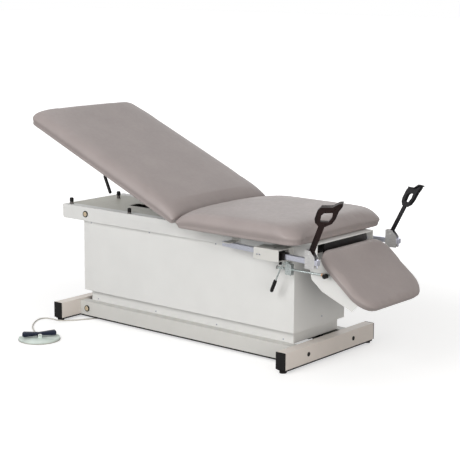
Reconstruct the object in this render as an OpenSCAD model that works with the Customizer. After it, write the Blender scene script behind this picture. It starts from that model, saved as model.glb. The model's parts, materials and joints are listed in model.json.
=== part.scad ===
// Power examination table with scissor lift, gas spring back, drop-down leg rest and two heel stirrups.
// Frame: origin at the centre of the base on the floor, +X towards the foot end, +Z up, millimetres.

/* [Base] */
// Length of the base beyond a scissor arm
base_overrun = 210.8; // [200:1:240]
// Width of the base over its black end caps
base_width = 676; // [600:1:760]
// Width of a cross tube
tube_w = 50.8; // [40:0.1:60]
// Height of a cross tube
tube_h = 76.2; // [72:0.1:90]
// Wall of a cross tube
tube_wall = 3; // [2:0.5:4]
// Height of a levelling foot under the tube
foot_h = 16; // [12:0.5:24]
// Radius of a levelling foot
foot_r = 16; // [12:0.5:20]
// Distance of a levelling foot from the tube end
foot_inset = 20; // [18:1:60]

/* [Channels] */
// Height of the rail and frame side channels
channel_h = 68; // [66:0.5:70]
// Flange width of the channels
channel_w = 50; // [44:1:54]
// Wall of the channels
channel_wall = 5; // [4:0.5:6]
// Half distance between the outer faces of the base rails
rail_y = 210; // [206:1:214]

/* [Lift] */
// Distance between the end pivots of a scissor arm
arm_length = 1200; // [1190:1:1205]
// Height of the table frame pivots above the base pivots at rest
lift_rise = 469; // [465:1:480]
// Height of a scissor arm plate
arm_h = 50; // [40:1:52]
// Thickness of a scissor arm plate
arm_t = 12; // [8:0.5:14]
// Radius of the pivot bolts
bolt_r = 12; // [10:0.5:14]
// Running clearance of bores and sliding fits, radial
fit = 0.05; // [0.03:0.01:0.1]
// Distance from the lift pivot to each end of the actuator
actuator_reach = 800; // [780:1:820]
// Angle of the actuator top pin above the lift arm
actuator_lead = 4; // [3.5:0.1:4.5]

/* [Shrouds] */
// Sheet thickness of both shrouds
sheet = 1.5; // [1:0.1:2]
// Length of the lower shroud beyond a scissor arm
lower_overrun = 35; // [30:1:40]
// Width of the lower shroud
lower_width = 330; // [322:1:340]
// Height of the top edge of the lower shroud
lower_top = 450; // [430:1:455]
// Length of the upper shroud beyond a scissor arm
upper_overrun = 79; // [75:1:90]
// Width of the upper shroud
upper_width = 382; // [372:1:390]
// Depth of the upper shroud below the frame
upper_depth = 348; // [320:1:350]

/* [Top frame] */
// Half width of the top frame
frame_y = 212; // [210:1:216]
// Distance from the scissor pivots to the head end of the top frame
head_overhang = 158; // [145:1:175]
// Length of the top frame beyond a scissor arm at the foot end
foot_overhang = 177; // [172:1:179]
// Thickness of the top panel
panel_t = 3; // [2:0.5:4]
// Height of the head bumpers
bumper_head_h = 36; // [30:1:37]
// Height of the middle bumpers
bumper_mid_h = 26.5; // [20:0.5:27]

/* [Upholstery] */
// Half width of the seat and back
pad_y = 343; // [330:1:350]
// Head end of the seat
seat_x0 = 97; // [96:1:110]
// Distance of the seat's foot end from the end of the frame
seat_setback = 21; // [18:1:40]
// Thickness of the plywood boards
board_t = 12; // [11:0.5:13]
// Height of the seat cushion at its crown above the board
seat_cushion_h = 77; // [70:1:80]
// Height of the seat cushion along its sides above the board
seat_edge_h = 60; // [45:1:64]
// Length of the back section
back_length = 975; // [940:1:990]
// Recline of the back at rest, degrees
back_angle = 22.9; // [20:0.1:25]
// Thickness of the back section at its crown
back_t = 86.5; // [80:0.5:90]
// Height of the back cushion along its sides above its board
back_edge_h = 45.5; // [35:0.5:50]
// Height of the back cushion at its foot edge, where it meets the seat
back_nose_h = 29; // [24:1:32]

/* [Leg rest] */
// Tilt of the leg rest at rest, degrees
leg_angle = 40; // [38:0.5:42]
// Length of the leg rest pad
leg_length = 335; // [320:1:350]
// Half width of the leg rest pad
leg_y = 238; // [225:1:245]
// Thickness of the leg rest pad with its board
leg_t = 45; // [40:1:50]
// Height of its cushion along its sides above the board
leg_edge_h = 24; // [18:1:28]
// Radius of the support rod
rod_r = 5; // [4:0.5:6]

/* [Stirrups] */
// Side of the square stirrup bar
bar = 22; // [20:0.5:25]
// Splay of the stirrup bars, degrees
splay = 7; // [6:0.5:8]
// Length of the stirrup bar
bar_length = 566; // [550:1:575]
// Lean of the heel loop arm, degrees from vertical
arm_lean = 25.6; // [20:0.1:30]

/* [Foot control and cord] */
// Diameter of the cord
cord_d = 7; // [6:0.5:8]
// Length of the navy rocker bar
rocker_length = 158; // [140:1:170]

/* [Hidden] */
$fn = 64;

// Colours
c_base = [0.79, 0.75, 0.73];
c_white = [0.87, 0.87, 0.86];
c_cream = [0.80, 0.79, 0.72];
c_black = [0.07, 0.07, 0.07];
c_steel = [0.62, 0.63, 0.66];
c_zinc = [0.62, 0.72, 0.70];
c_vinyl = [0.64, 0.59, 0.58];
c_wood = [0.72, 0.58, 0.40];
c_navy = [0.10, 0.13, 0.22];
c_mint = [0.80, 0.87, 0.83];

// Lengths that follow from the scissor arm
base_length = arm_length + base_overrun;
lower_length = arm_length + lower_overrun;
upper_length = arm_length + upper_overrun;

// Base heights and lift pivots
tube_z0 = foot_h;
tube_z1 = tube_z0 + tube_h;
tube_x = (base_length - tube_w) / 2;
cap_t = 4;
rail_z0 = tube_z0;
rail_z1 = rail_z0 + channel_h;
pivot_z = rail_z0 + channel_h / 2;
pivot_gap = 47.6;
pivot_x = tube_w + pivot_gap - base_length / 2;
lift_angle = asin(lift_rise / arm_length);
roller_x = pivot_x + arm_length * cos(lift_angle);
centre_x = pivot_x + arm_length / 2 * cos(lift_angle);
centre_z = pivot_z + lift_rise / 2;
frame_pivot_z = pivot_z + lift_rise;
roller_r = channel_h / 2 - channel_wall - 0.3;
roller_w = 25;
roller_y0 = 172;
lift_arm_y = 130;
cross_arm_y = 108;
pin_a = [pivot_x + actuator_reach, pivot_z];
pin_b = [pivot_x + actuator_reach * cos(lift_angle + actuator_lead),
         pivot_z + actuator_reach * sin(lift_angle + actuator_lead)];
actuator_angle = 90 + (lift_angle + actuator_lead) / 2;
actuator_len = 2 * actuator_reach * sin((lift_angle + actuator_lead) / 2);
lift_tube_r = 880;
cross_tube_r = 300;
pin_r = 8;
base_lug_y = 30;

// Frame ends and heights
frame_x0 = pivot_x - head_overhang;
frame_x1 = pivot_x + arm_length + foot_overhang;
panel_x1 = frame_x1 - 170;
web_x = frame_x1 - 70;
seat_x1 = frame_x1 - seat_setback;
frame_z0 = frame_pivot_z - channel_h / 2;
frame_z1 = frame_pivot_z + channel_h / 2;
slot = [-488, 0, -34, 39];
lower_y = lower_width / 2;
upper_y = upper_width / 2;
lower_x0 = pivot_x - 9;
lower_x1 = lower_x0 + lower_length;
upper_x0 = pivot_x - 34;
upper_x1 = upper_x0 + upper_length;
upper_z0 = frame_z0 - upper_depth;

// Back hinge, gas spring, lever
hinge = [62, frame_z1 + 22];
board_drop = 6;
gas_a = [-20, frame_z0 + 15];
gas_reach = 300;
gas_drop = 24;
lever_u = 527;
lever_drop = 42;
lever_len = 115;
lever_y = -270;

// Leg rest pivot and support linkage
leg_p = [frame_x1 - 32.5, frame_pivot_z - 1];
link_x = 97.5;
link_z = 89;
leg_c = leg_p + [-link_x, -link_z];
leg_q = leg_p + [link_x, -link_z];
leg_q_local = [link_x * cos(leg_angle) + link_z * sin(leg_angle),
               link_x * sin(leg_angle) - link_z * cos(leg_angle)];
leg_w = 8.4;
leg_u = 34.1;
plate_t = 3;
plate_y = frame_y + 2.5;
rod_y = -226;

// Stirrup guide pivot
guide_x = frame_x1 - 170;
guide_y = frame_y + 67;
stirrup_z = frame_z1 - 55;
swivel_gap = 0.3;

// Control box on the base, and the foot control beside the head end
box_x = pivot_x + 247;
box_l = 120;
gland_z = 100;
foot_control_x = pivot_x + 111;

// Cord route on the floor and up to the control box
cord_shift = [pivot_x + 607, 0, 0];
cord_points = [
    [-532, -605, 12], [-549, -593, 12], [-566, -582, 10], [-584, -571, 5.5], [-606, -559, 3.6],
    [-640, -536, 3.6], [-674, -510, 3.6], [-704, -479, 3.6], [-730, -446, 3.6], [-752, -411, 3.6],
    [-763, -380, 3.6], [-757, -357, 3.6], [-741, -346, 3.6], [-722, -343, 3.6], [-703, -342, 3.6],
    [-682, -342, 3.6], [-662, -337, 3.6], [-645, -322, 3.6], [-625, -296, 3.6], [-600, -258, 3.6],
    [-575, -212, 3.6], [-550, -160, 3.6], [-530, -108, 3.6], [-514, -60, 3.6], [-496, -22, 3.6],
    [-472, -4, 3.6], [-448, 0, 10], [-432, 0, 32], [-424, 0, 60], [-412, 0, 86], [-394, 0, 98], [-372, 0, 100]
];
cord_route = [for (p = cord_points) p + cord_shift];

// Box between two opposite corners
module block(x0, x1, y0, y1, z0, z1) {
    translate([x0, y0, z0]) cube([x1 - x0, y1 - y0, z1 - z0]);
}

// Round bar along Y
module bar_y(r, x, z, y0, y1) {
    translate([x, y1, z]) rotate([90, 0, 0]) cylinder(r = r, h = y1 - y0);
}

// Round bar along X
module bar_x(r, x0, x1, y, z) {
    translate([x0, y, z]) rotate([0, 90, 0]) cylinder(r = r, h = x1 - x0);
}

// Round bar along Z
module bar_z(r, x, y, z0, z1) {
    translate([x, y, z0]) cylinder(r = r, h = z1 - z0);
}

// Flat plate drawn in the XZ plane between two Y faces
module plate_y(y0, y1) {
    translate([0, y1, 0]) rotate([90, 0, 0]) linear_extrude(height = y1 - y0) children();
}

// The piece and its mirror image on the far side
module both_sides() {
    children();
    mirror([0, 1, 0]) children();
}

// Move to a point of the XZ plane and tilt up from +X
module at_xz(p, angle) {
    translate([p[0], 0, p[1]]) rotate([0, -angle, 0]) children();
}

// Scissor arm plate from its own pivot along +X, with its three bores
module arm_plate(y0) {
    difference() {
        union() {
            block(0, arm_length, y0, y0 + arm_t, -arm_h / 2, arm_h / 2);
            bar_y(arm_h / 2, 0, 0, y0, y0 + arm_t);
            bar_y(arm_h / 2, arm_length, 0, y0, y0 + arm_t);
        }
        for (x = [0, arm_length / 2, arm_length])
            bar_y(bolt_r + fit, x, 0, y0 - 1, y0 + arm_t + 1);
    }
}

// Channel along X that opens towards the middle plane
module side_channel(x0, x1, y_out, z0) {
    difference() {
        block(x0, x1, y_out - channel_w, y_out, z0, z0 + channel_h);
        block(x0 - 1, x1 + 1, y_out - channel_w - 1, y_out - channel_wall,
              z0 + channel_wall, z0 + channel_h - channel_wall);
    }
}

module base_cross_tubes() {
    half = base_width / 2 - cap_t;
    color(c_base) for (s = [-1, 1]) difference() {
        block(s * tube_x - tube_w / 2, s * tube_x + tube_w / 2, -half, half, tube_z0, tube_z1);
        block(s * tube_x - tube_w / 2 + tube_wall, s * tube_x + tube_w / 2 - tube_wall,
              -half - 1, half + 1, tube_z0 + tube_wall, tube_z1 - tube_wall);
        for (y = [-1, 1])
            bar_z(6, s * tube_x, y * (base_width / 2 - foot_inset), tube_z0 - 1, tube_z0 + tube_wall + 1);
        for (y = [-170, 170])
            bar_x(8, s * (tube_x + tube_w / 2) - 5, s * (tube_x + tube_w / 2) + 5, y, tube_z0 + tube_h / 2);
    }
}

module base_side_rails() {
    x = tube_x - tube_w / 2;
    color(c_base) both_sides() difference() {
        side_channel(-x, x, rail_y, rail_z0);
        bar_y(bolt_r + fit, pivot_x, pivot_z, rail_y - 10, rail_y + 10);
    }
}

module base_cross_members() {
    y = rail_y - channel_wall;
    z0 = rail_z0 + channel_wall;
    z1 = rail_z1 - channel_wall;
    lug_y = base_lug_y;
    color(c_base) {
        block(box_x + 40, box_x + 80, -y, y, z0, z1 - 10);
        difference() {
            union() {
                block(pin_a[0] + 26, pin_a[0] + 66, -y, y, z0, rail_z0 + 50);
                for (s = [-1, 1]) {
                    block(pin_a[0], pin_a[0] + 26, s * lug_y - 4, s * lug_y + 4, pivot_z - 18, pivot_z + 18);
                    bar_y(18, pin_a[0], pin_a[1], s * lug_y - 4, s * lug_y + 4);
                }
            }
            bar_y(pin_r + fit, pin_a[0], pin_a[1], -lug_y - 5, lug_y + 5);
        }
    }
}

module tube_end_caps() {
    end = base_width / 2;
    plug = tube_wall + 0.2;
    color(c_black) both_sides() for (s = [-1, 1]) {
        block(s * tube_x - tube_w / 2 - 0.4, s * tube_x + tube_w / 2 + 0.4, end - cap_t, end,
              tube_z0 - 0.4, tube_z1 + 0.4);
        block(s * tube_x - tube_w / 2 + plug, s * tube_x + tube_w / 2 - plug, end - cap_t - 8,
              end - cap_t, tube_z0 + plug, tube_z1 - plug);
    }
}

module tube_hole_plugs() {
    color(c_black) for (s = [-1, 1], y = [-170, 170]) {
        face = s * (tube_x + tube_w / 2);
        bar_x(7.9, min(face, face - s * tube_wall), max(face, face - s * tube_wall), y, tube_z0 + tube_h / 2);
        bar_x(10, min(face, face + s * 1.2), max(face, face + s * 1.2), y, tube_z0 + tube_h / 2);
    }
}

module levelling_feet() {
    color(c_black) both_sides() for (s = [-1, 1]) {
        y = base_width / 2 - foot_inset;
        bar_z(foot_r, s * tube_x, y, 0, 10);
        bar_z(9, s * tube_x, y, 10, tube_z0);
        bar_z(5.9, s * tube_x, y, tube_z0, tube_z0 + tube_wall + 12);
    }
}

// Pivot bolt from inside an arm plate out through a channel web, with its head
module pivot_bolt(x, z, y0, y_web) {
    bar_y(bolt_r, x, z, y0, y_web);
    bar_y(bolt_r + 3, x, z, y_web, y_web + 4);
    difference() {
        bar_y(bolt_r + 6, x, z, max(y0, lift_arm_y + arm_t + 1), y_web - channel_wall - 1);
        bar_y(bolt_r - 1, x, z, y0, y_web);
    }
}

module base_pivot_bolts() {
    color(c_steel) both_sides() pivot_bolt(pivot_x, pivot_z, lift_arm_y - 4, rail_y);
}

// Four-sided sheet-metal shroud, each wall a flat panel
module shroud_walls(x0, x1, y, z0, z1) {
    both_sides() block(x0, x1, y - sheet, y, z0, z1);
    for (x = [x0, x1 - sheet])
        block(x, x + sheet, -y + sheet, y - sheet, z0, z1);
}

module lower_shroud() {
    color(c_white) shroud_walls(lower_x0, lower_x1, lower_y, rail_z1, lower_top);
}

// Row of small screw heads on both side faces
module side_screws(xs, y, z) {
    both_sides() for (x = xs) {
        bar_y(4, x, z, y, y + 1.6);
    }
}

module lower_shroud_screws() {
    screws_x = [lower_x0 + 43, lower_x0 + 424, lower_x1 - 436, lower_x1 - 55];
    color(c_steel) side_screws(screws_x, lower_y, rail_z1 + 11);
}

module control_box() {
    color(c_black) {
        block(box_x, box_x + box_l, -60, 60, rail_z1 - channel_wall - 10, rail_z1 + 70);
        bar_x(7, box_x - 11.8, box_x + 1, 0, gland_z);
    }
    color(c_steel) block(box_x + box_l, box_x + box_l + 14, -20, 20, rail_z1, rail_z1 + 36);
}

// Local frame of the foot control on the floor, the rocker bar along its Y axis
module at_foot_control() {
    translate([foot_control_x, -629, 0]) rotate([0, 0, -34]) children();
}

rocker_w = 30;
rocker_pin = [0, 24];

module foot_switch_base() {
    color(c_mint) at_foot_control() {
        difference() {
            union() {
                intersection() {
                    cylinder(r = 95, h = 12);
                    block(-38, 100, -100, 100, -1, 13);
                }
                for (s = [-1, 1])
                    block(s * (rocker_w / 2 + 2.3) - 2, s * (rocker_w / 2 + 2.3) + 2, -8, 8, 11, 30);
            }
            bar_x(3 + fit, -20, 20, rocker_pin[0], rocker_pin[1]);
        }
    }
}

module foot_switch_rocker() {
    half = rocker_length / 2;
    color(c_navy) at_foot_control() {
        difference() {
            block(-rocker_w / 2, rocker_w / 2, -half + 12, half - 12, 17, 42);
            block(-rocker_w, rocker_w, -12, 12, 10, 18);
        }
        for (s = [-1, 1]) intersection() {
            bar_x(25, -rocker_w / 2, rocker_w / 2, s * (half - 25), 17);
            block(-rocker_w, rocker_w, s > 0 ? half - 12 : -half, s > 0 ? half : -half + 12, 17, 50);
        }
        bar_x(3, -19, 19, rocker_pin[0], rocker_pin[1]);
    }
}

function unit(v) = v / norm(v);
function side_of(t) = unit(cross(t, abs(t[2]) > 0.9 ? [1, 0, 0] : [0, 0, 1]));
function route_tangent(p, i) = unit(p[min(i + 1, len(p) - 1)] - p[max(i - 1, 0)]);
function catmull(a, b, c, d, t) =
    0.5 * (2 * b + (c - a) * t + (2 * a - 5 * b + 4 * c - d) * t * t + (3 * b - a - 3 * c + d) * t * t * t);
function smooth_route(p, n) = concat([for (i = [0 : len(p) - 2], k = [0 : n - 1])
    catmull(p[max(i - 1, 0)], p[i], p[i + 1], p[min(i + 2, len(p) - 1)], k / n)], [p[len(p) - 1]]);

// Tube of round section swept along a list of points
module swept_tube(points, d, sides) {
    path = smooth_route(points, 2);
    rings = [for (i = [0 : len(path) - 1])
        let (t = route_tangent(path, i), u = side_of(t), v = cross(t, u))
        [for (k = [0 : sides - 1]) path[i] + d / 2 * (cos(360 * k / sides) * u + sin(360 * k / sides) * v)]];
    last = len(path) - 1;
    polyhedron(
        points = [for (r = rings) each r],
        faces = concat(
            [[for (k = [0 : sides - 1]) k]],
            [[for (k = [sides - 1 : -1 : 0]) last * sides + k]],
            [for (i = [0 : last - 1], k = [0 : sides - 1])
                [i * sides + k, (i + 1) * sides + k, (i + 1) * sides + (k + 1) % sides]],
            [for (i = [0 : last - 1], k = [0 : sides - 1])
                [i * sides + k, (i + 1) * sides + (k + 1) % sides, i * sides + (k + 1) % sides]]
        )
    );
}

module foot_switch_cord() {
    color(c_cream) swept_tube(cord_route, cord_d, 8);
}

// Collar where the cord enters the back of the foot control
module strain_relief() {
    color(c_black) difference() {
        at_foot_control() bar_x(8, -60, -38, 0, 12);
        foot_switch_cord();
    }
}

module lift_arms() {
    color(c_white) at_xz([pivot_x, pivot_z], lift_angle) both_sides() arm_plate(lift_arm_y);
}

// Actuator top pin in the lift arm's own frame
pin_b_local = [actuator_reach * cos(actuator_lead), actuator_reach * sin(actuator_lead)];

module lift_cross_tube() {
    lug_y = 22;
    color(c_white) at_xz([pivot_x, pivot_z], lift_angle) difference() {
        union() {
            bar_y(20, lift_tube_r, 0, -lift_arm_y, lift_arm_y);
            for (s = [-1, 1]) {
                plate_y(s * lug_y - 4, s * lug_y + 4)
                    polygon([[lift_tube_r, -14], [lift_tube_r, 14], pin_b_local + [0, 16],
                             pin_b_local + [0, -16]]);
                bar_y(16, pin_b_local[0], pin_b_local[1], s * lug_y - 4, s * lug_y + 4);
            }
        }
        bar_y(pin_r + fit, pin_b_local[0], pin_b_local[1], -lug_y - 5, lug_y + 5);
    }
}

module lift_arm_bolts() {
    y0 = cross_arm_y - 4;
    y1 = lift_arm_y + arm_t + 4;
    color(c_steel) bar_y(pin_r, pin_b[0], pin_b[1], -28, 28);
    color(c_steel) both_sides() {
        bar_y(bolt_r, centre_x, centre_z, y0, y1);
        bar_y(bolt_r + 6, centre_x, centre_z, y1, y1 + 4);
        difference() {
            bar_y(bolt_r + 6, centre_x, centre_z, cross_arm_y + arm_t + 0.5, lift_arm_y - 0.5);
            bar_y(bolt_r + fit, centre_x, centre_z, cross_arm_y, lift_arm_y);
        }
    }
}

// Pair of channel rollers on stub axles held in the arm ends
module roller_pair(z, y_arm) {
    both_sides() {
        bar_y(bolt_r, roller_x, z, y_arm - 4, roller_y0 + roller_w + 3);
        bar_y(bolt_r + 4, roller_x, z, y_arm + arm_t, roller_y0);
        bar_y(roller_r, roller_x, z, roller_y0, roller_y0 + roller_w);
    }
}

module top_rollers() {
    color(c_steel) roller_pair(frame_pivot_z, lift_arm_y);
}

module base_rollers() {
    color(c_steel) roller_pair(pivot_z, cross_arm_y);
}

module cross_arms() {
    color(c_white) at_xz([pivot_x, frame_pivot_z], -lift_angle) both_sides() arm_plate(cross_arm_y);
}

module cross_arm_tube() {
    color(c_white) at_xz([pivot_x, frame_pivot_z], -lift_angle)
        bar_y(18, cross_tube_r, 0, -cross_arm_y, cross_arm_y);
}

cylinder_len = actuator_len - 73.6;
rod_len = actuator_len - 58.6;
actuator_r = 25;

module actuator_cylinder() {
    color(c_steel) at_xz(pin_a, actuator_angle) difference() {
        union() {
            bar_y(17, 0, 0, 4.5 - base_lug_y, base_lug_y - 4.5);
            bar_x(actuator_r, 14, cylinder_len, 0, 0);
        }
        bar_y(pin_r + fit, 0, 0, -base_lug_y, base_lug_y);
        bar_x(12 + fit, 36, cylinder_len + 1, 0, 0);
    }
}

module actuator_motor() {
    color(c_black) at_xz(pin_a, actuator_angle) {
        bar_x(27, 92, 232, 0, 56);
        difference() {
            block(60, 92, -27, 27, 22, 83);
            bar_x(actuator_r + fit, 50, 100, 0, 0);
        }
    }
}

module actuator_rod() {
    len = actuator_len;
    color(c_steel) at_xz(pin_a, actuator_angle) difference() {
        union() {
            bar_x(12, len - rod_len, len - 12, 0, 0);
            bar_y(15, len, 0, -16, 16);
        }
        bar_y(pin_r + fit, len, 0, -30, 30);
    }
}

module actuator_pins() {
    color(c_steel) bar_y(pin_r, pin_a[0], pin_a[1], -base_lug_y - 6, base_lug_y + 6);
}

// Side channels of the frame, their lower foot corners rounded about the leg rest pivot
module top_side_channels() {
    z1 = frame_z0 + channel_h;
    foot_r_web = leg_p[1] - frame_z0;
    color(c_white) both_sides() difference() {
        union() {
            side_channel(frame_x0 + panel_t, leg_p[0], frame_y, frame_z0);
            plate_y(frame_y - channel_wall, frame_y) translate(leg_p) intersection() {
                union() {
                    circle(r = foot_r_web);
                    square([frame_x1 - leg_p[0], z1 - leg_p[1]]);
                    translate([-5, 0]) square([20, z1 - leg_p[1]]);
                }
                translate([-10, -200]) square([frame_x1 - leg_p[0] + 10, 200 + z1 - leg_p[1]]);
            }
            block(leg_p[0] - 5, frame_x1, frame_y - channel_w, frame_y, z1 - channel_wall, z1);
        }
        bar_y(bolt_r + fit, pivot_x, frame_pivot_z, frame_y - 10, frame_y + 10);
        bar_y(8 + fit, leg_p[0], leg_p[1], frame_y - 10, frame_y + 10);
    }
    color(c_white) mirror([0, 1, 0]) difference() {
        union() {
            block(leg_c[0] - 12, leg_c[0] + 8, frame_y, frame_y + 3, leg_c[1] - 14, house[4] - 2);
            block(leg_c[0] - 12, house[1] - 6.5, frame_y, frame_y + 3, house[4] - 2, house[5] - house_wall - 1);
        }
        bar_y(6 + fit, leg_c[0], leg_c[1], frame_y - 1, frame_y + 4);
    }
}

module top_panel() {
    y = frame_y - channel_w;
    color(c_cream) difference() {
        block(frame_x0 + panel_t, panel_x1, -y, y, frame_z1 - panel_t, frame_z1);
        block(slot[0], slot[1] - 5, slot[2], slot[3], frame_z1 - 10, frame_z1 + 1);
    }
}

module frame_end_channels() {
    z1 = frame_z1;
    y = frame_y - channel_wall;
    color(c_white) difference() {
        block(frame_x0, frame_x0 + panel_t, -frame_y, frame_y, frame_z0, z1);
        both_sides() difference() {
            block(frame_x0 - 1, frame_x0 + 50, frame_y - 16, frame_y + 1, frame_z0 - 1, frame_z0 + 16);
            bar_x(16, frame_x0 - 2, frame_x0 + 51, frame_y - 16, frame_z0 + 16);
        }
    }
    color(c_white) {
        block(web_x, web_x + channel_wall, -y, y, frame_z0 + channel_wall, z1 - channel_wall);
        block(web_x + channel_wall, frame_x1, -frame_y + channel_w, frame_y - channel_w, z1 - channel_wall, z1);
        block(panel_x1, web_x, -frame_y + channel_w, frame_y - channel_w, z1 - channel_wall, z1);
    }
    // Two cross members that carry the gas spring foot and the back hinge
    color(c_white) difference() {
        union() {
            block(gas_a[0] + 18, gas_a[0] + 58, -y, y, frame_z0 + channel_wall, frame_z0 + channel_wall + 36);
            for (s = [-1, 1])
                block(gas_a[0] - 12, gas_a[0] + 18, s * 17 - 3, s * 17 + 3, frame_z0 + 5, frame_z0 + 30);
        }
        bar_y(5 + fit, gas_a[0], gas_a[1], -30, 30);
    }
}

module upper_shroud() {
    color(c_white) shroud_walls(upper_x0, upper_x1, upper_y, upper_z0, frame_z0);
}

module upper_shroud_screws() {
    screws_x = [upper_x0 + 52, upper_x0 + 434, upper_x1 - 440, upper_x1 - 78];
    color(c_steel) side_screws(screws_x, upper_y, frame_z0 - 9);
    color(c_steel) bar_x(4, upper_x1, upper_x1 + 1.6, 17, upper_z0 + 39);
    color(c_steel) bar_z(5, frame_x0 + 13, 6, frame_z1, frame_z1 + 1.8);
}

mid_bumper_x = -329;
far_bumper = [head_overhang - 65, 84];

// Rubber stop on a round stem, with a domed top
module bumper(r, x, y, stem, h) {
    color(c_black) bar_z(r, x, y, frame_z1 + stem, frame_z1 + h - 3);
    color(c_black) translate([x, y, frame_z1 + h - 3]) cylinder(r1 = r, r2 = r - 4, h = 3);
    color(c_steel) bar_z(8, x, y, frame_z1, frame_z1 + stem);
}

module bumpers() {
    bumper(10, frame_x0 + 33, 29 - frame_y, 10, bumper_head_h - 5);
    bumper(10, frame_x0 + far_bumper[0], far_bumper[1], 14, bumper_head_h);
    for (s = [-1, 1])
        bumper(9, mid_bumper_x, s * (frame_y - 15), 6, bumper_mid_h);
}

module frame_pivot_bolts() {
    color(c_steel) both_sides() {
        bar_y(bolt_r, pivot_x, frame_pivot_z, cross_arm_y - 4, frame_y);
        bar_y(bolt_r + 3, pivot_x, frame_pivot_z, frame_y, frame_y + 4);
        difference() {
            bar_y(bolt_r + 6, pivot_x, frame_pivot_z, cross_arm_y + arm_t + 1, frame_y - channel_wall - 1);
            bar_y(bolt_r - 1, pivot_x, frame_pivot_z, cross_arm_y, frame_y);
        }
    }
    color(c_steel) bar_y(5, gas_a[0], gas_a[1], -23, 23);
}

// Outline points of a pad with its own corner radii at the head and foot ends
function arc(cx, cy, r, a0, n) = [for (i = [0 : n])
    [cx + r * cos(a0 + 90 * i / n), cy + r * sin(a0 + 90 * i / n)]];
function pad_outline(x0, x1, y, r0, r1, n) = concat(
    arc(x1 - r1, y - r1, r1, 0, n), arc(x0 + r0, y - r0, r0, 90, n),
    arc(x0 + r0, -y + r0, r0, 180, n), arc(x1 - r1, -y + r1, r1, 270, n));

// The same outline with its long straight runs divided, in equal numbers for every inset
function dense_outline(x0, x1, y, r0, r1, n) = let(p = pad_outline(x0, x1, y, r0, r1, n), k = n + 1)
    [for (i = [0 : len(p) - 1]) each (i % k == n
        ? [for (t = [0 : 5]) p[i] + (p[(i + 1) % len(p)] - p[i]) * t / 6]
        : [p[i]])];

// Plywood board with rounded corners
module board(x0, x1, y, r0, r1, z0, z1) {
    translate([0, 0, z0]) linear_extrude(height = z1 - z0) polygon(pad_outline(x0, x1, y, r0, r1, 12));
}

// Height of a pad over its board, at u along and v across its plan.
// form is [height at the sides, at the crown, arch across, drop at the head, at the foot, arch along, corner dip]
function pad_top(u, v, form) = form[0] * (1 - form[6] * pow(abs(u), 6) * pow(abs(v), 2.2))
    + (form[1] - form[0]) * (1 - (u < 0 ? form[3] : form[4]) * pow(abs(u), form[5]))
    * (1 - pow(min(abs(v), 1), form[2]));

// Share of that height reached at t across the shoulder
function shoulder_level(t) = 0.42 + 0.58 * (1 - pow(1 - t, 2.6));

// Upholstered pad: sides drawn in at the board and bulging below rounded shoulders.
// runs is [shoulder width at the sides, its share at the head, its share at the foot];
// bevel is [height at the foot edge, rise per mm from it], where the pad leaves room for its neighbour
module cushion(x0, x1, y, r0, r1, z0, form, runs, tuck, bevel) {
    n = 7;
    mid = (x0 + x1) / 2;
    half = (x1 - x0) / 2;
    under = [[tuck, 0], [tuck * 0.3, 0.18], [0, 0.42]];
    over = [for (t = [0.13, 0.3, 0.5, 0.75, 1]) [runs[0] * t, shoulder_level(t)]];
    rims = concat(
        [for (s = under) dense_outline(x0 + s[0], x1 - s[0], y - s[0], max(r0 - s[0], 6), max(r1 - s[0], 6), n)],
        [for (s = over) dense_outline(x0 + s[0] * runs[1], x1 - s[0] * runs[2], y - s[0], max(r0 - s[0], 6),
                                      max(r1 - s[0], 6), n)]);
    crest = rims[len(rims) - 1];
    plan = concat(rims, [for (f = [0.95, 0.86, 0.7, 0.5, 0.25])
        [for (p = crest) [mid + f * (p[0] - mid), f * p[1]]]]);
    level = concat([for (s = under) s[1]], [for (s = over) s[1]], [1, 1, 1, 1, 1]);
    crown = form[1];
    rings = [for (j = [0 : len(plan) - 1]) [for (p = plan[j])
        [p[0], p[1], z0 + min(level[j] * pad_top((p[0] - mid) / half, p[1] / y, form),
                              bevel[0] + bevel[1] * (x1 - p[0]))]]];
    k = len(rings[0]);
    last = len(rings) - 1;
    polyhedron(
        points = concat([for (r = rings) each r], [[mid, 0, z0 + crown], [mid, 0, z0]]),
        faces = concat(
            [for (i = [0 : k - 1]) [i, (i + 1) % k, (last + 1) * k + 1]],
            [for (j = [0 : last - 1], i = [0 : k - 1])
                [j * k + i, (j + 1) * k + i, (j + 1) * k + (i + 1) % k]],
            [for (j = [0 : last - 1], i = [0 : k - 1])
                [j * k + i, (j + 1) * k + (i + 1) % k, j * k + (i + 1) % k]],
            [for (i = [0 : k - 1]) [last * k + i, (last + 1) * k, last * k + (i + 1) % k]]
        )
    );
}

board_inset = 12;

module seat_board() {
    color(c_wood) board(seat_x0 + board_inset, seat_x1 - board_inset, pad_y - board_inset, 20, 80, frame_z1,
                        frame_z1 + board_t);
}

module seat_cushion() {
    form = [seat_edge_h, seat_cushion_h, 7.3, 0.6, 0.95, 6.7, 0.75];
    color(c_vinyl) cushion(seat_x0, seat_x1, pad_y, 21, 74, frame_z1 + board_t + 0.3, form, [27, 0.37, 2.9], 7,
                           [seat_cushion_h, 0]);
}

// Back section frame: origin on the hinge axis, the board along -X, raised by its rest angle
module at_back() {
    translate([hinge[0], 0, hinge[1]]) rotate([0, back_angle, 0]) children();
}

knuckle_r = 5.7;
hinge_y = [118, 148, 148.6, 178];
strap_t = 3;

module back_hinge_brackets() {
    color(c_steel) both_sides() difference() {
        union() {
            bar_y(knuckle_r, hinge[0], hinge[1], hinge_y[0], hinge_y[1]);
            block(hinge[0] - 2.5, hinge[0] + 2.5, hinge_y[0], hinge_y[1], frame_z1, hinge[1]);
            block(hinge[0] - 2.5, hinge[0] + 28, hinge_y[0], hinge_y[1], frame_z1, frame_z1 + 4);
        }
        bar_y(3 + fit, hinge[0], hinge[1], hinge_y[0] - 1, hinge_y[1] + 1);
    }
}

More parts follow.
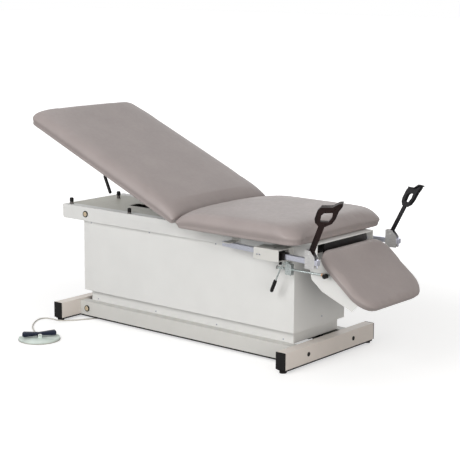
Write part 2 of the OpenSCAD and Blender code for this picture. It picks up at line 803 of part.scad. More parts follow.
module back_board() {
    pocket = [-gas_reach - 45, -gas_reach + 45];
    color(c_wood) at_back() difference() {
        board(board_inset - back_length, 9, pad_y - board_inset, 60, 14, -board_drop, -board_drop + board_t);
        both_sides() block(-24, 12, hinge_y[0] - 4, hinge_y[3] + 4, -20, 20);
        block(pocket[0], pocket[1], -13, 13, -20, 4);
    }
}

module back_rails() {
    z = -board_drop - strap_t;
    color(c_steel) at_back() {
        both_sides() {
            difference() {
                union() {
                    bar_y(knuckle_r, 0, 0, hinge_y[2], hinge_y[3]);
                    block(-22, 0, hinge_y[2], hinge_y[3], -5.5, -2.5);
                    block(-600, -18, hinge_y[2], hinge_y[3], z, -board_drop);
                    block(-22, -18, hinge_y[2], hinge_y[3], z, -2.5);
                }
                bar_y(3 + fit, 0, 0, hinge_y[2] - 1, hinge_y[3] + 1);
            }
            bar_y(3, 0, 0, hinge_y[0] - 2, hinge_y[3] + 2);
        }
        // Gas spring cheeks under the board, with the open eye between them
        for (s = [-1, 1])
            block(-gas_reach - 40, -gas_reach + 40, s * 16 - 1.5, s * 16 + 1.5, -gas_drop - 12, -board_drop);
        // Ears of the release lever
        difference() {
            for (s = [-1, 1])
                block(-lever_u - 12, -lever_u + 12, lever_y + s * 6.5 - 1.5, lever_y + s * 6.5 + 1.5, -28,
                      -board_drop);
            bar_y(2.5 + fit, -lever_u, -20, lever_y - 10, lever_y + 10);
        }
    }
}

module back_cushion() {
    z0 = -board_drop + board_t + 0.3;
    form = [back_edge_h, back_t - board_t - 0.3, 6.8, -0.05, 0.29, 1.5, 0.17];
    color(c_vinyl) at_back()
        cushion(-back_length, 7, pad_y, 24, 28, z0, form, [23.6, 0.7, 1], 6, [back_nose_h, 0.45]);
}

gas_b = hinge + [-gas_reach * cos(back_angle) - gas_drop * sin(back_angle),
                 gas_reach * sin(back_angle) - gas_drop * cos(back_angle)];
gas_vec = gas_b - gas_a;
gas_angle = atan2(gas_vec[1], gas_vec[0]);
gas_len = norm(gas_vec);
gas_cylinder = 196;

module gas_spring_cylinder() {
    color(c_black) at_xz(gas_a, gas_angle) difference() {
        union() {
            bar_y(9, 0, 0, -12, 12);
            bar_x(11, 7, gas_cylinder, 0, 0);
        }
        bar_y(5 + fit, 0, 0, -30, 30);
        bar_x(4 + fit, 14, gas_cylinder + 1, 0, 0);
    }
}

module gas_spring_rod() {
    rod = 200;
    color(c_steel) at_xz(gas_a, gas_angle) difference() {
        union() {
            bar_x(4, gas_len - rod, gas_len - 4, 0, 0);
            bar_y(6, gas_len, 0, -9, 9);
        }
        bar_y(3, gas_len, 0, -30, 30);
    }
}

module release_lever() {
    color(c_black) at_back() translate([-lever_u, lever_y, -20]) rotate([0, lever_drop, 0]) {
        bar_y(7, 0, 0, -4.5, 4.5);
        block(0, 40, -3, 3, -4, 4);
        bar_x(7.5, 35, lever_len, 0, 0);
        translate([lever_len, 0, 0]) sphere(r = 7.5, $fn = 32);
        bar_y(2.5, 0, 0, -8, 8);
    }
}

// Leg rest frame: origin on its pivot, +X down the pad, +Z out of it
module at_leg() {
    at_xz(leg_p, -leg_angle) children();
}

module leg_side_plates() {
    x1 = leg_u + 282;
    color(c_white) at_leg() both_sides() difference() {
        union() {
            plate_y(plate_y, plate_y + plate_t) {
                circle(r = 16);
                polygon([[-10, -12], [84, -84], [155, -83], [x1 - 4, -33], [x1, leg_w], [0, leg_w]]);
            }
            block(leg_u + 20, x1 - 20, plate_y - 20, plate_y + plate_t, leg_w - plate_t, leg_w);
        }
        bar_y(8 + fit, 0, 0, plate_y - 1, plate_y + plate_t + 1);
        bar_y(5 + fit, leg_q_local[0], leg_q_local[1], plate_y - 1, plate_y + plate_t + 1);
    }
}

module leg_board() {
    color(c_wood) at_leg() board(leg_u + 8, leg_u + leg_length - 8, leg_y - 8, 76, 96, leg_w, leg_w + board_t);
}

module leg_cushion() {
    form = [leg_edge_h, leg_t - board_t - 0.3, 4, 0.2, 0.2, 3, 0.25];
    color(c_vinyl) at_leg()
        cushion(leg_u, leg_u + leg_length, leg_y, 84, 104, leg_w + board_t + 0.3, form, [22, 1, 1], 4, [leg_t, 0]);
}

module leg_pivot_bolts() {
    color(c_steel) both_sides() {
        bar_y(8, leg_p[0], leg_p[1], frame_y - channel_wall - 4, plate_y + plate_t + 1);
        bar_y(12, leg_p[0], leg_p[1], plate_y + plate_t + 1, plate_y + plate_t + 5);
    }
}

module support_rod() {
    q = leg_q;
    color(c_zinc) difference() {
        union() {
            bar_x(rod_r, leg_c[0] - 70, q[0] - 4, rod_y, q[1]);
            bar_y(9, q[0], q[1], rod_y - 5, rod_y + 5);
            bar_x(8, q[0] - 20, q[0] - 11, rod_y, q[1]);
        }
        bar_y(5 + fit, q[0], q[1], rod_y - 10, rod_y + 10);
    }
}

module rod_knob() {
    color(c_black) {
        bar_y(5, leg_q[0], leg_q[1], rod_y - 6, -plate_y + 1);
        bar_y(10, leg_q[0], leg_q[1], rod_y - 24, rod_y - 6);
    }
}

module rod_clamp() {
    x = leg_c[0];
    z = leg_c[1];
    color(c_zinc) difference() {
        union() {
            block(x - 16, x + 16, rod_y - 14, -frame_y - 6.3, z - 23, z + 24);
            bar_y(6, x, z, -frame_y - 6.3, -frame_y + 1);
            block(x - 6, x + 6, rod_y - 14, rod_y - 8, z + 24, z + 37);
            bar_y(3, x, z + 31, rod_y - 23, rod_y - 14);
        }
        bar_x(rod_r + fit, x - 30, x + 30, rod_y, z);
    }
}

module clamp_lever() {
    x = leg_c[0];
    z = leg_c[1];
    y0 = rod_y - 20;
    y1 = rod_y - 14.6;
    color(c_steel) difference() {
        union() {
            bar_y(7, x, z + 31, y0, y1);
            plate_y(y0, y1)
                polygon([[x + 3, z + 25], [x + 3, z + 37], [x - 32, z + 20], [x - 45, z - 5], [x - 68, z - 54],
                         [x - 60, z - 58], [x - 36, z - 9], [x - 25, z + 11]]);
        }
        bar_y(3 + fit, x, z + 31, y0 - 1, y1 + 1);
    }
    color(c_black) translate([x - 64, (y0 + y1) / 2, z - 56]) rotate([0, 112.5 + 90, 0]) rotate([0, -90, 0]) {
        bar_x(8, 0, 50, 0, 0);
        translate([50, 0, 0]) sphere(r = 8, $fn = 32);
    }
}

// Far-side stirrup as drawn, mirrored for the near side
module stirrup_side(side) {
    if (side == "left") children();
    else mirror([0, 1, 0]) children();
}

// Stirrup bar frame: origin on the swivel pin, +X along the bar
module at_bar() {
    translate([guide_x, guide_y, stirrup_z]) rotate([0, 0, splay]) children();
}

house = [guide_x - 86, guide_x + 47, frame_y + 28, frame_y + 106, stirrup_z - 24, stirrup_z + 27];
plunger_at = [guide_x + 32, guide_y + 4];
keeper_x = [guide_x - 288, guide_x - 248];
keeper_z = stirrup_z + 12;
house_wall = 4;

module stirrup_housings() {
    w = house_wall;
    color(c_cream) both_sides() {
        difference() {
            union() {
                block(house[0], house[1], house[2], house[3], house[4], house[5]);
                block(house[0] + 40, house[1], frame_y, house[2], house[5] - w, house[5]);
                block(house[1] - 6, house[1], frame_y, house[2], house[4], house[5]);
            }
            block(house[0] - 1, house[1] + 1, house[2] + w, house[3] - w, house[4] + w, house[5] - w);
            bar_z(6 + fit, guide_x, guide_y, house[4] - 1, house[5] + 1);
            bar_z(4 + fit, plunger_at[0], plunger_at[1], house[4] - 1, house[4] + w + 1);
        }
        // Keeper over the tail of the bar
        block(keeper_x[0], keeper_x[1], frame_y, frame_y + 3, keeper_z, keeper_z + 16);
        block(keeper_x[0], keeper_x[1], frame_y + 3, frame_y + 74, keeper_z, keeper_z + 3);
    }
    // Set screws in the outer face
    color(c_black) both_sides() for (dz = [-5, 7])
        bar_y(3, house[0] + 26, stirrup_z + dz, house[3], house[3] + 1);
}

module stirrup_guide(side) {
    half = bar / 2 + 6;
    color(c_black) stirrup_side(side) {
        at_bar() difference() {
            union() {
                block(-55, 42, -half, half, -19, 19);
                block(42, 69, -half, half, -bar / 2 - 3.5, bar / 2 + 3.5);
            }
            block(-60, 75, -bar / 2 - 0.2, bar / 2 + 0.2, -bar / 2 - 0.2, bar / 2 + 0.2);
        }
        bar_z(6, guide_x, guide_y, house[4], stirrup_z - 18);
        bar_z(6, guide_x, guide_y, stirrup_z + 18, house[5]);
    }
}

bar_x0 = -316;
bracket = [184, 238];
arm_pivot = [204.5, 30];
cheek_t = 2;

module stirrup_bar(side) {
    color(c_steel) stirrup_side(side) at_bar() {
        difference() {
            block(bar_x0, bar_x0 + bar_length, -bar / 2, bar / 2, -bar / 2, bar / 2);
            bar_z(3.5, bar_x0 + bar_length - 7, 0, -30, 30);
        }
        bar_z(3.5, bar_x0 + bar_length - 7, 0, -23, 17);
    }
}

module stirrup_bracket(side) {
    y = bar / 2 + 0.2;
    b = bracket;
    color(c_steel) stirrup_side(side) at_bar() difference() {
        union() {
            for (s = [-1, 1])
                plate_y(s > 0 ? y : -y - cheek_t, s > 0 ? y + cheek_t : -y)
                    polygon([[b[0], -30], [b[1], -30], [b[1], 20], [b[1] - 24, 48], [b[0], 48]]);
            block(b[0], b[0] + cheek_t, -y, y, -30, 48);
            for (x = [b[0] + 8, b[1] - 10])
                bar_y(3, x, -20, -y - cheek_t - 1.4, y + cheek_t + 1.4);
            bar_y(4, arm_pivot[0], arm_pivot[1], -y - cheek_t - 1.6, y + cheek_t + 1.6);
        }
        block(b[0] - 1, b[0] + 5, -bar / 2 - 0.1, bar / 2 + 0.1, -bar / 2 - 0.1, bar / 2 + 0.1);
    }
}

// Heel loop arm frame: +Z along the arm, +X across the loop, from the arm pivot
arm_dir = unit([tan(arm_lean), tan(5), 1]);
loop_h0 = [cos(27), -sin(27), 0];
loop_h = unit(loop_h0 - (loop_h0 * arm_dir) * arm_dir);
loop_n = cross(arm_dir, loop_h);
arm_origin = [guide_x + arm_pivot[0] * cos(splay), guide_y + arm_pivot[0] * sin(splay),
              stirrup_z + arm_pivot[1]];

module at_arm() {
    multmatrix([[loop_h[0], loop_n[0], arm_dir[0], arm_origin[0]],
                [loop_h[1], loop_n[1], arm_dir[1], arm_origin[1]],
                [loop_h[2], loop_n[2], arm_dir[2], arm_origin[2]],
                [0, 0, 0, 1]]) children();
}

module heel_loop(side) {
    outer = [[-13, 140], [-30, 150], [-38, 166], [-39, 206], [-30, 227], [-6, 237], [14, 246], [34, 272],
             [48, 279], [51, 262], [44, 236], [43, 200], [36, 172], [14, 148]];
    inner = [[-13, 162], [-17, 192], [-10, 205], [23, 221], [27, 199], [19, 174]];
    color(c_black) stirrup_side(side) difference() {
        union() {
            at_arm() {
                block(-12.5, 12.5, -3, 3, -6, 150);
                plate_y(-7, 7) difference() {
                    offset(r = 4, $fn = 24) offset(delta = -4) polygon(outer);
                    offset(r = 3, $fn = 24) offset(delta = -3) polygon(inner);
                }
                plate_y(-12, 12) polygon([[-30, 227], [-6, 237], [14, 246], [34, 272], [48, 279], [49, 274],
                                          [38, 268], [17, 242], [-4, 232], [-27, 222]]);
            }
            at_bar() bar_y(9, arm_pivot[0], arm_pivot[1], -bar / 2 + 0.6, bar / 2 - 0.6);
        }
        at_bar() bar_y(4 + fit, arm_pivot[0], arm_pivot[1], -20, 20);
    }
}

module stirrup_plunger(side) {
    color(c_black) stirrup_side(side) {
        bar_z(4, plunger_at[0], plunger_at[1], house[4] - 4, house[4] + house_wall);
        bar_z(7, plunger_at[0], plunger_at[1], house[4] - 16, house[4] - 1);
    }
}

base_cross_tubes();
base_side_rails();
base_cross_members();
tube_end_caps();
tube_hole_plugs();
levelling_feet();
base_pivot_bolts();
lower_shroud();
lower_shroud_screws();
control_box();
foot_switch_base();
foot_switch_rocker();
foot_switch_cord();
strain_relief();
lift_arms();
lift_cross_tube();
lift_arm_bolts();
top_rollers();
cross_arms();
cross_arm_tube();
base_rollers();
actuator_cylinder();
actuator_motor();
actuator_rod();
actuator_pins();
top_side_channels();
top_panel();
frame_end_channels();
upper_shroud();
upper_shroud_screws();
bumpers();
frame_pivot_bolts();
seat_board();
seat_cushion();
back_hinge_brackets();
stirrup_housings();
gas_spring_cylinder();
gas_spring_rod();
back_board();
back_rails();
back_cushion();
release_lever();
leg_side_plates();
leg_board();
leg_cushion();
leg_pivot_bolts();
support_rod();
rod_knob();
rod_clamp();
clamp_lever();
stirrup_guide("left");  // stirrup_guide_left
stirrup_guide("right");  // stirrup_guide_right
stirrup_bar("left");  // stirrup_bar_left
stirrup_bar("right");  // stirrup_bar_right
stirrup_bracket("left");  // stirrup_bracket_left
stirrup_bracket("right");  // stirrup_bracket_right
heel_loop("left");  // heel_loop_left
heel_loop("right");  // heel_loop_right
stirrup_plunger("left");  // stirrup_plunger_left
stirrup_plunger("right");  // stirrup_plunger_right
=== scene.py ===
import json
import math
from collections import namedtuple
import bpy
import bmesh
from mathutils import Matrix, Vector, noise

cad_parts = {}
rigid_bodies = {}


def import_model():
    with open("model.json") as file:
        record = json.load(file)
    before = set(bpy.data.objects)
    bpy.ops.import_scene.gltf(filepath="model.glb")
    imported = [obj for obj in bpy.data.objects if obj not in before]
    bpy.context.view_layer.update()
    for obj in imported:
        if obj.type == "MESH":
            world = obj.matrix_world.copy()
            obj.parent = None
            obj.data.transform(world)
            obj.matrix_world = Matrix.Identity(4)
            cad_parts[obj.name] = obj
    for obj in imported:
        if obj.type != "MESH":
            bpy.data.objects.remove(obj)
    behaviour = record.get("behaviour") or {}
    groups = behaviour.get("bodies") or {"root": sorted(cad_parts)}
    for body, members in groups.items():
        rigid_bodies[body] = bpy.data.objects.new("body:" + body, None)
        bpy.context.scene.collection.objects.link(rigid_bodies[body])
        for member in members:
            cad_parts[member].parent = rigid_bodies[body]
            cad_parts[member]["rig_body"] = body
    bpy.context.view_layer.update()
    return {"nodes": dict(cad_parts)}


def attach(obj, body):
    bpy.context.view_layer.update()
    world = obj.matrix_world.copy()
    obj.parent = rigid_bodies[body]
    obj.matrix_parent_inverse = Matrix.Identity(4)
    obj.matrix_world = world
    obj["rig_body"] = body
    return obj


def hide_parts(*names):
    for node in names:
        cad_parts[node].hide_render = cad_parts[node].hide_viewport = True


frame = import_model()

# Places and sizes are in millimetres up to the point where MM turns them into Blender's metres
MM = 0.001
UP = Vector((0, 0, 1))
FOOTWARD = Vector((1, 0, 0))
WHITE = (1, 1, 1, 1)
nodes = frame["nodes"]


def smoothstep(a, b, x):
    t = min(max((x - a) / (b - a), 0), 1)
    return t * t * (3 - 2 * t)


# Camera at the photograph's angle

AZIMUTH = math.radians(39.41)
ELEVATION = math.radians(10.81)
ROLL = math.radians(0.32)
DISTANCE = 6220.96
FOCAL_PX = 1347.22
IMAGE_PX = 460
SENSOR = 36
TARGET = Vector((122.58, 0, 501.82))


def make_camera():
    back = Vector((math.sin(AZIMUTH) * math.cos(ELEVATION), -math.cos(AZIMUTH) * math.cos(ELEVATION),
                   math.sin(ELEVATION)))
    right = Vector((math.cos(AZIMUTH), math.sin(AZIMUTH), 0))
    up = back.cross(right)
    right_rolled = right * math.cos(ROLL) + up * math.sin(ROLL)
    up_rolled = up * math.cos(ROLL) - right * math.sin(ROLL)
    data = bpy.data.cameras.new("camera")
    data.sensor_width = SENSOR
    data.lens = FOCAL_PX * SENSOR / IMAGE_PX
    camera = bpy.data.objects.new("camera", data)
    rotation = Matrix((right_rolled, up_rolled, back)).transposed().to_4x4()
    camera.matrix_world = Matrix.Translation((TARGET + back * DISTANCE) * MM) @ rotation
    bpy.context.scene.collection.objects.link(camera)
    bpy.context.scene.camera = camera


make_camera()


# Materials

def srgb(r, g, b):
    def channel(v):
        v = v / 255
        return v / 12.92 if v <= 0.04045 else ((v + 0.055) / 1.055) ** 2.4
    return (channel(r), channel(g), channel(b), 1)


def shade(colour, factor):
    return tuple(min(c * factor, 1) for c in colour[:3]) + (1,)


def add_node(tree, kind, values=()):
    """A shader node of this kind, with some of its inputs set."""
    node = tree.nodes.new(kind)
    for socket, value in dict(values).items():
        node.inputs[socket].default_value = value
    return node


def combine(tree, operation, a, b):
    """A math node between two outputs."""
    node = add_node(tree, "ShaderNodeMath")
    node.operation = operation
    tree.links.new(a, node.inputs[0])
    tree.links.new(b, node.inputs[1])
    return node.outputs[0]


class Paint:
    """A principled material whose colour, roughness and bump come from textures in object space."""

    def __init__(self, name, colour, rough, metallic=0.0, specular=0.5, sheen=0.0):
        self.material = bpy.data.materials.new(name)
        self.material.use_nodes = True
        self.material.diffuse_color = colour
        self.tree = self.material.node_tree
        self.shader = self.tree.nodes["Principled BSDF"]
        constants = {"Base Color": colour, "Roughness": rough, "Metallic": metallic,
                     "Specular IOR Level": specular, "Sheen Weight": sheen}
        for socket, value in constants.items():
            self.shader.inputs[socket].default_value = value
        self.coords = add_node(self.tree, "ShaderNodeTexCoord")
        self.colour = colour
        self.mixed = None
        self.normal = None

    def mapped(self, stretch):
        node = add_node(self.tree, "ShaderNodeMapping", {"Scale": stretch})
        self.tree.links.new(self.coords.outputs["Object"], node.inputs["Vector"])
        return node.outputs["Vector"]

    def noise(self, scale, detail=3, stretch=(1, 1, 1)):
        node = add_node(self.tree, "ShaderNodeTexNoise", {"Scale": scale, "Detail": detail})
        self.tree.links.new(self.mapped(stretch), node.inputs["Vector"])
        return node.outputs["Fac"]

    def cells(self, scale, feature="F1"):
        node = add_node(self.tree, "ShaderNodeTexVoronoi", {"Scale": scale})
        node.feature = feature
        self.tree.links.new(self.mapped((1, 1, 1)), node.inputs["Vector"])
        return node.outputs["Distance"]

    def spread(self, value, low, high, from_low=0.3, from_high=0.7):
        node = add_node(self.tree, "ShaderNodeMapRange",
                        {"From Min": from_low, "From Max": from_high, "To Min": low, "To Max": high})
        self.tree.links.new(value, node.inputs["Value"])
        return node.outputs["Result"]

    def mix(self, factor, a, b):
        """Colour between a and b, each a colour or a socket."""
        node = add_node(self.tree, "ShaderNodeMix")
        node.data_type = "RGBA"
        self.tree.links.new(factor, node.inputs["Factor"])
        first_colour, second_colour, colour_result = 6, 7, 2
        for index, value in ((first_colour, a), (second_colour, b)):
            if isinstance(value, tuple):
                node.inputs[index].default_value = value
            else:
                self.tree.links.new(value, node.inputs[index])
        return node.outputs[colour_result]

    def vary(self, scale, dark, light, detail=3, stretch=(1, 1, 1)):
        """Cloudy colour between a darker and a lighter shade."""
        factor = self.spread(self.noise(scale, detail, stretch), 0, 1)
        self.mixed = self.mix(factor, shade(self.colour, dark), shade(self.colour, light))
        self.tree.links.new(self.mixed, self.shader.inputs["Base Color"])

    def worn(self, colour, low, high):
        """Edges rubbed to another colour, found from the mesh's own curvature."""
        geometry = add_node(self.tree, "ShaderNodeNewGeometry")
        edge = self.spread(geometry.outputs["Pointiness"], 0, 1, low, high)
        self.tree.links.new(self.mix(edge, self.mixed, colour), self.shader.inputs["Base Color"])

    def roughen(self, scale, low, high, stretch=(1, 1, 1)):
        value = self.spread(self.noise(scale, 4, stretch), low, high)
        self.tree.links.new(value, self.shader.inputs["Roughness"])

    def bump(self, height, strength, distance):
        """Relief of this distance in metres, over any relief added before."""
        node = add_node(self.tree, "ShaderNodeBump", {"Strength": strength, "Distance": distance})
        self.tree.links.new(height, node.inputs["Height"])
        if self.normal:
            self.tree.links.new(self.normal, node.inputs["Normal"])
        self.normal = node.outputs["Normal"]
        self.tree.links.new(self.normal, self.shader.inputs["Normal"])


def vinyl(name, colour):
    """Upholstery cover with soft waves and a fine leather grain."""
    p = Paint(name, colour, rough=0.44, specular=0.42, sheen=0.05)
    p.vary(scale=7, dark=0.95, light=1.04)
    p.roughen(scale=60, low=0.40, high=0.52)
    p.bump(p.noise(scale=14, detail=4), strength=0.25, distance=0.0015)
    p.bump(p.cells(scale=900, feature="DISTANCE_TO_EDGE"), strength=0.35, distance=0.00012)
    return p.material


def powder_coat(name, colour, rough):
    """Painted steel with a slight orange peel and rubbed edges."""
    p = Paint(name, colour, rough, specular=0.45)
    p.vary(scale=9, dark=0.97, light=1.03)
    p.worn(shade(colour, 1.12), low=0.54, high=0.62)
    p.roughen(scale=40, low=rough - 0.05, high=rough + 0.06)
    p.bump(p.noise(scale=700, detail=2), strength=0.12, distance=0.0002)
    return p.material


def moulded(name, colour, rough, light=1.25):
    """Moulded plastic with a fine matt grain and paler worn edges."""
    p = Paint(name, colour, rough, specular=0.22)
    p.vary(scale=25, dark=0.85, light=light)
    p.worn(shade(colour, 2.2), low=0.53, high=0.62)
    p.roughen(scale=90, low=rough - 0.06, high=rough + 0.08)
    p.bump(p.cells(scale=1400), strength=0.2, distance=0.00015)
    return p.material


def plated(name, colour, rough, stretch=(1, 12, 12), dark=0.86, light=1.08):
    """Plated metal with marks drawn out along the piece."""
    p = Paint(name, colour, rough, metallic=1.0)
    p.vary(30, dark, light, 4, stretch)
    p.roughen(120, rough - 0.08, rough + 0.1, stretch)
    p.bump(p.noise(500, 3, stretch), strength=0.08, distance=0.0001)
    return p.material


def dust_cloth(name, colour):
    """Woven black lining under a pad."""
    p = Paint(name, colour, rough=0.9, specular=0.2, sheen=0.2)
    p.vary(scale=60, dark=0.8, light=1.3)
    p.bump(p.cells(scale=1800), strength=0.6, distance=0.0003)
    return p.material


def cord_jacket(name, colour):
    """Soft matt jacket of a cord."""
    p = Paint(name, colour, rough=0.68, specular=0.35)
    p.vary(scale=60, dark=0.85, light=1.15)
    p.roughen(scale=120, low=0.6, high=0.76)
    p.bump(p.noise(scale=900, detail=2), strength=0.2, distance=0.0002)
    return p.material


M = {
    "vinyl": vinyl("vinyl", srgb(157, 147, 145)),
    "base_paint": powder_coat("base_paint", srgb(224, 216, 209), 0.42),
    # A copy of the base paint for the rails, cooler as the rails look and darker to paint in the shade that
    # the shrouds throw on them
    "shaded_rail_paint": powder_coat("shaded_rail_paint", srgb(206, 205, 201), 0.42),
    "white_paint": powder_coat("white_paint", srgb(222, 222, 220), 0.40),
    "cream_paint": powder_coat("cream_paint", srgb(200, 198, 187), 0.46),
    "black_plastic": moulded("black_plastic", srgb(17, 16, 16), 0.42),
    "black_paint": moulded("black_paint", srgb(20, 18, 18), 0.34),
    # The heel loops share one black paint; these two copies paint in light, warm brown on the near loop and
    # cool blue on the far one
    "loop_near_warm_light": moulded("loop_near_warm_light", srgb(21, 12, 11), 0.30),
    "loop_far_cool_light": moulded("loop_far_cool_light", srgb(11, 11, 14), 0.30),
    "plated_steel": plated("plated_steel", srgb(196, 198, 208), 0.30),
    "bar_steel": plated("bar_steel", srgb(218, 220, 232), 0.36, (1, 14, 14)),
    "bright_steel": plated("bright_steel", srgb(228, 227, 226), 0.36),
    "dark_steel": plated("dark_steel", srgb(110, 106, 104), 0.42),
    "zinc_clamp": plated("zinc_clamp", srgb(203, 211, 210), 0.28, (3, 3, 3), 0.85, 1.1),
    "brass": plated("brass", srgb(214, 170, 134), 0.32, (3, 3, 3), 0.85, 1.1),
    "tan_cap": moulded("tan_cap", srgb(196, 176, 150), 0.40, 1.08),
    "dust_cloth": dust_cloth("dust_cloth", srgb(44, 42, 42)),
    "navy_plastic": moulded("navy_plastic", srgb(24, 31, 50), 0.36, 1.15),
    "mint_plastic": moulded("mint_plastic", srgb(208, 222, 214), 0.42, 1.05),
    "grey_rim": moulded("grey_rim", srgb(150, 150, 144), 0.5, 1.1),
    "cord_jacket": cord_jacket("cord_jacket", srgb(206, 203, 196)),
}


# Mesh helpers

SHARP_ANGLE = 35
WELD_DISTANCE = 1e-5


def finish_mesh(mesh, angle=SHARP_ANGLE):
    """Smooth shading, with edges sharper than the angle kept."""
    for polygon in mesh.polygons:
        polygon.use_smooth = True
    mesh.set_sharp_from_angle(angle=math.radians(angle))


def apply_modifiers(obj):
    """Give the object the mesh that its modifiers leave."""
    bpy.context.view_layer.update()
    graph = bpy.context.evaluated_depsgraph_get()
    mesh = bpy.data.meshes.new_from_object(obj.evaluated_get(graph), depsgraph=graph)
    obj.modifiers.clear()
    obj.data = mesh


def add_object(name, bm, material, angle=SHARP_ANGLE):
    mesh = bpy.data.meshes.new(name)
    bmesh.ops.recalc_face_normals(bm, faces=bm.faces)
    bm.to_mesh(mesh)
    bm.free()
    finish_mesh(mesh, angle)
    obj = bpy.data.objects.new(name, mesh)
    bpy.context.scene.collection.objects.link(obj)
    mesh.materials.append(M[material])
    return obj


def place(obj, body, slot, *replaced):
    """Let the piece ride on a body and hide the nodes that it stands for. The slot is not used."""
    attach(obj, body)
    if replaced:
        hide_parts(*replaced)


def arc(cx, cy, radius, start, steps):
    """A quarter circle of points, from a start in degrees."""
    angles = [math.radians(start + 90 * i / steps) for i in range(steps + 1)]
    return [(cx + radius * math.cos(a), cy + radius * math.sin(a)) for a in angles]


def rounded_outline(x0, x1, y, r0, r1, steps):
    """Rectangle from x0 to x1 and -y to y, its corners rounded by r0 at x0 and r1 at x1."""
    return (arc(x1 - r1, y - r1, r1, 0, steps) + arc(x0 + r0, y - r0, r0, 90, steps)
            + arc(x0 + r0, -y + r0, r0, 180, steps) + arc(x1 - r1, -y + r1, r1, 270, steps))


def skin(bm, rings):
    """Quads between rings of equal length, with a face at each end."""
    loops = [[bm.verts.new(p) for p in ring] for ring in rings]
    count = len(loops[0])
    for a, b in zip(loops, loops[1:]):
        for i in range(count):
            bm.faces.new((a[i], b[i], b[(i + 1) % count], a[(i + 1) % count]))
    bm.faces.new(loops[0])
    bm.faces.new(list(reversed(loops[-1])))


def circle(centre, side, other, radius, sides):
    """Points in metres round a centre, on two directions at right angles."""
    angles = [2 * math.pi * k / sides for k in range(sides)]
    return [centre + (side * math.cos(a) + other * math.sin(a)) * radius for a in angles]


def rod_frame(direction):
    """Two directions across a rod."""
    side = direction.cross(UP if abs(direction.z) < 0.9 else FOOTWARD).normalized()
    return side, direction.cross(side)


def lathe(bm, start, direction, profile, sides=32):
    """Turned form: profile is (distance along, radius) pairs in millimetres from start."""
    thinnest = 0.02
    direction = direction.normalized()
    side, other = rod_frame(direction)
    skin(bm, [circle(start + direction * along * MM, side, other, max(radius, thinnest) * MM, sides)
              for along, radius in profile])


def tube(bm, points, radius, sides=20):
    """Round rod through points in metres, with the section carried along without twist."""
    rings = []
    side = None
    for i, p in enumerate(points):
        tangent = (points[min(i + 1, len(points) - 1)] - points[max(i - 1, 0)]).normalized()
        if side is None:
            side = rod_frame(tangent)[0]
        side = (side - tangent * side.dot(tangent)).normalized()
        rings.append(circle(p, side, tangent.cross(side), radius, sides))
    skin(bm, rings)


def add_box(bm, x0, x1, y0, y1, z0, z1, bevel, segments=2, matrix=None):
    """Box in millimetres with rounded edges."""
    made = bmesh.ops.create_cube(bm, size=1)["verts"]
    for v in made:
        v.co = Vector(((x0 + x1) / 2 + v.co.x * (x1 - x0), (y0 + y1) / 2 + v.co.y * (y1 - y0),
                       (z0 + z1) / 2 + v.co.z * (z1 - z0))) * MM
    edges = list(dict.fromkeys(e for v in made for e in v.link_edges))
    result = bmesh.ops.bevel(bm, geom=edges, offset=bevel * MM, segments=segments, profile=0.5,
                             affect="EDGES", clamp_overlap=True)
    if matrix is not None:
        made = list({v for f in result["faces"] for v in f.verts} | {v for v in made if v.is_valid})
        bmesh.ops.transform(bm, matrix=matrix, verts=made)


def islands(mesh):
    """Low and high corners of each loose part of a mesh, in order of place."""
    bm = bmesh.new()
    bm.from_mesh(mesh)
    bmesh.ops.remove_doubles(bm, verts=bm.verts, dist=WELD_DISTANCE)
    left = set(bm.verts)
    boxes = []
    while left:
        stack = [left.pop()]
        found = list(stack)
        while stack:
            for edge in stack.pop().link_edges:
                for v in edge.verts:
                    if v in left:
                        left.discard(v)
                        stack.append(v)
                        found.append(v)
        boxes.append([Vector((pick(v.co[i] for v in found) for i in range(3))) for pick in (min, max)])
    bm.free()
    return sorted(boxes, key=lambda box: tuple(box[0]))


# Cord of the foot control, one route with the CAD

CORD_POINTS = [
    (-532, -605, 12), (-549, -593, 12), (-566, -582, 10), (-584, -571, 5.5), (-606, -559, 3.6),
    (-640, -536, 3.6), (-674, -510, 3.6), (-704, -479, 3.6), (-730, -446, 3.6), (-752, -411, 3.6),
    (-763, -380, 3.6), (-757, -357, 3.6), (-741, -346, 3.6), (-722, -343, 3.6), (-703, -342, 3.6),
    (-682, -342, 3.6), (-662, -337, 3.6), (-645, -322, 3.6), (-625, -296, 3.6), (-600, -258, 3.6),
    (-575, -212, 3.6), (-550, -160, 3.6), (-530, -108, 3.6), (-514, -60, 3.6), (-496, -22, 3.6),
    (-472, -4, 3.6), (-448, 0, 10), (-432, 0, 32), (-424, 0, 60), (-412, 0, 86), (-394, 0, 98),
    (-372, 0, 100)]
CORD_DIAMETER = 7
CORD_STEPS = 5
RELIEF_SUNK = 4
RELIEF_RIBS = 4
RELIEF_RIB_PITCH = 5.5
RELIEF_RIB_R = 6.9
RELIEF_TAPER = 0.6


def catmull(points, steps):
    """Smooth curve through the points, with this many steps from each to the next."""
    out = []
    for i in range(len(points) - 1):
        a, b = points[max(i - 1, 0)], points[i]
        c, d = points[i + 1], points[min(i + 2, len(points) - 1)]
        for k in range(steps):
            t = k / steps
            out.append(0.5 * ((2 * b) + (c - a) * t + (2 * a - 5 * b + 4 * c - d) * t * t
                              + (3 * b - a - 3 * c + d) * t ** 3))
    out.append(points[-1])
    return out


def relief_profile():
    """Collar, tapering ribs and lip of the strain relief."""
    collar = [(0, 7.6), (3, 7.9), (5, 7.9), (6, 6.6)]
    lip = [(29, 4.3), (31, 4.0)]
    ribs = []
    for k in range(RELIEF_RIBS):
        at = collar[-1][0] + RELIEF_RIB_PITCH * k
        radius = RELIEF_RIB_R - RELIEF_TAPER * k
        ribs += [(at + 1.2, radius - 1.1), (at + 2.2, radius - 1.1), (at + 3, radius), (at + 5, radius)]
    return collar + ribs + lip


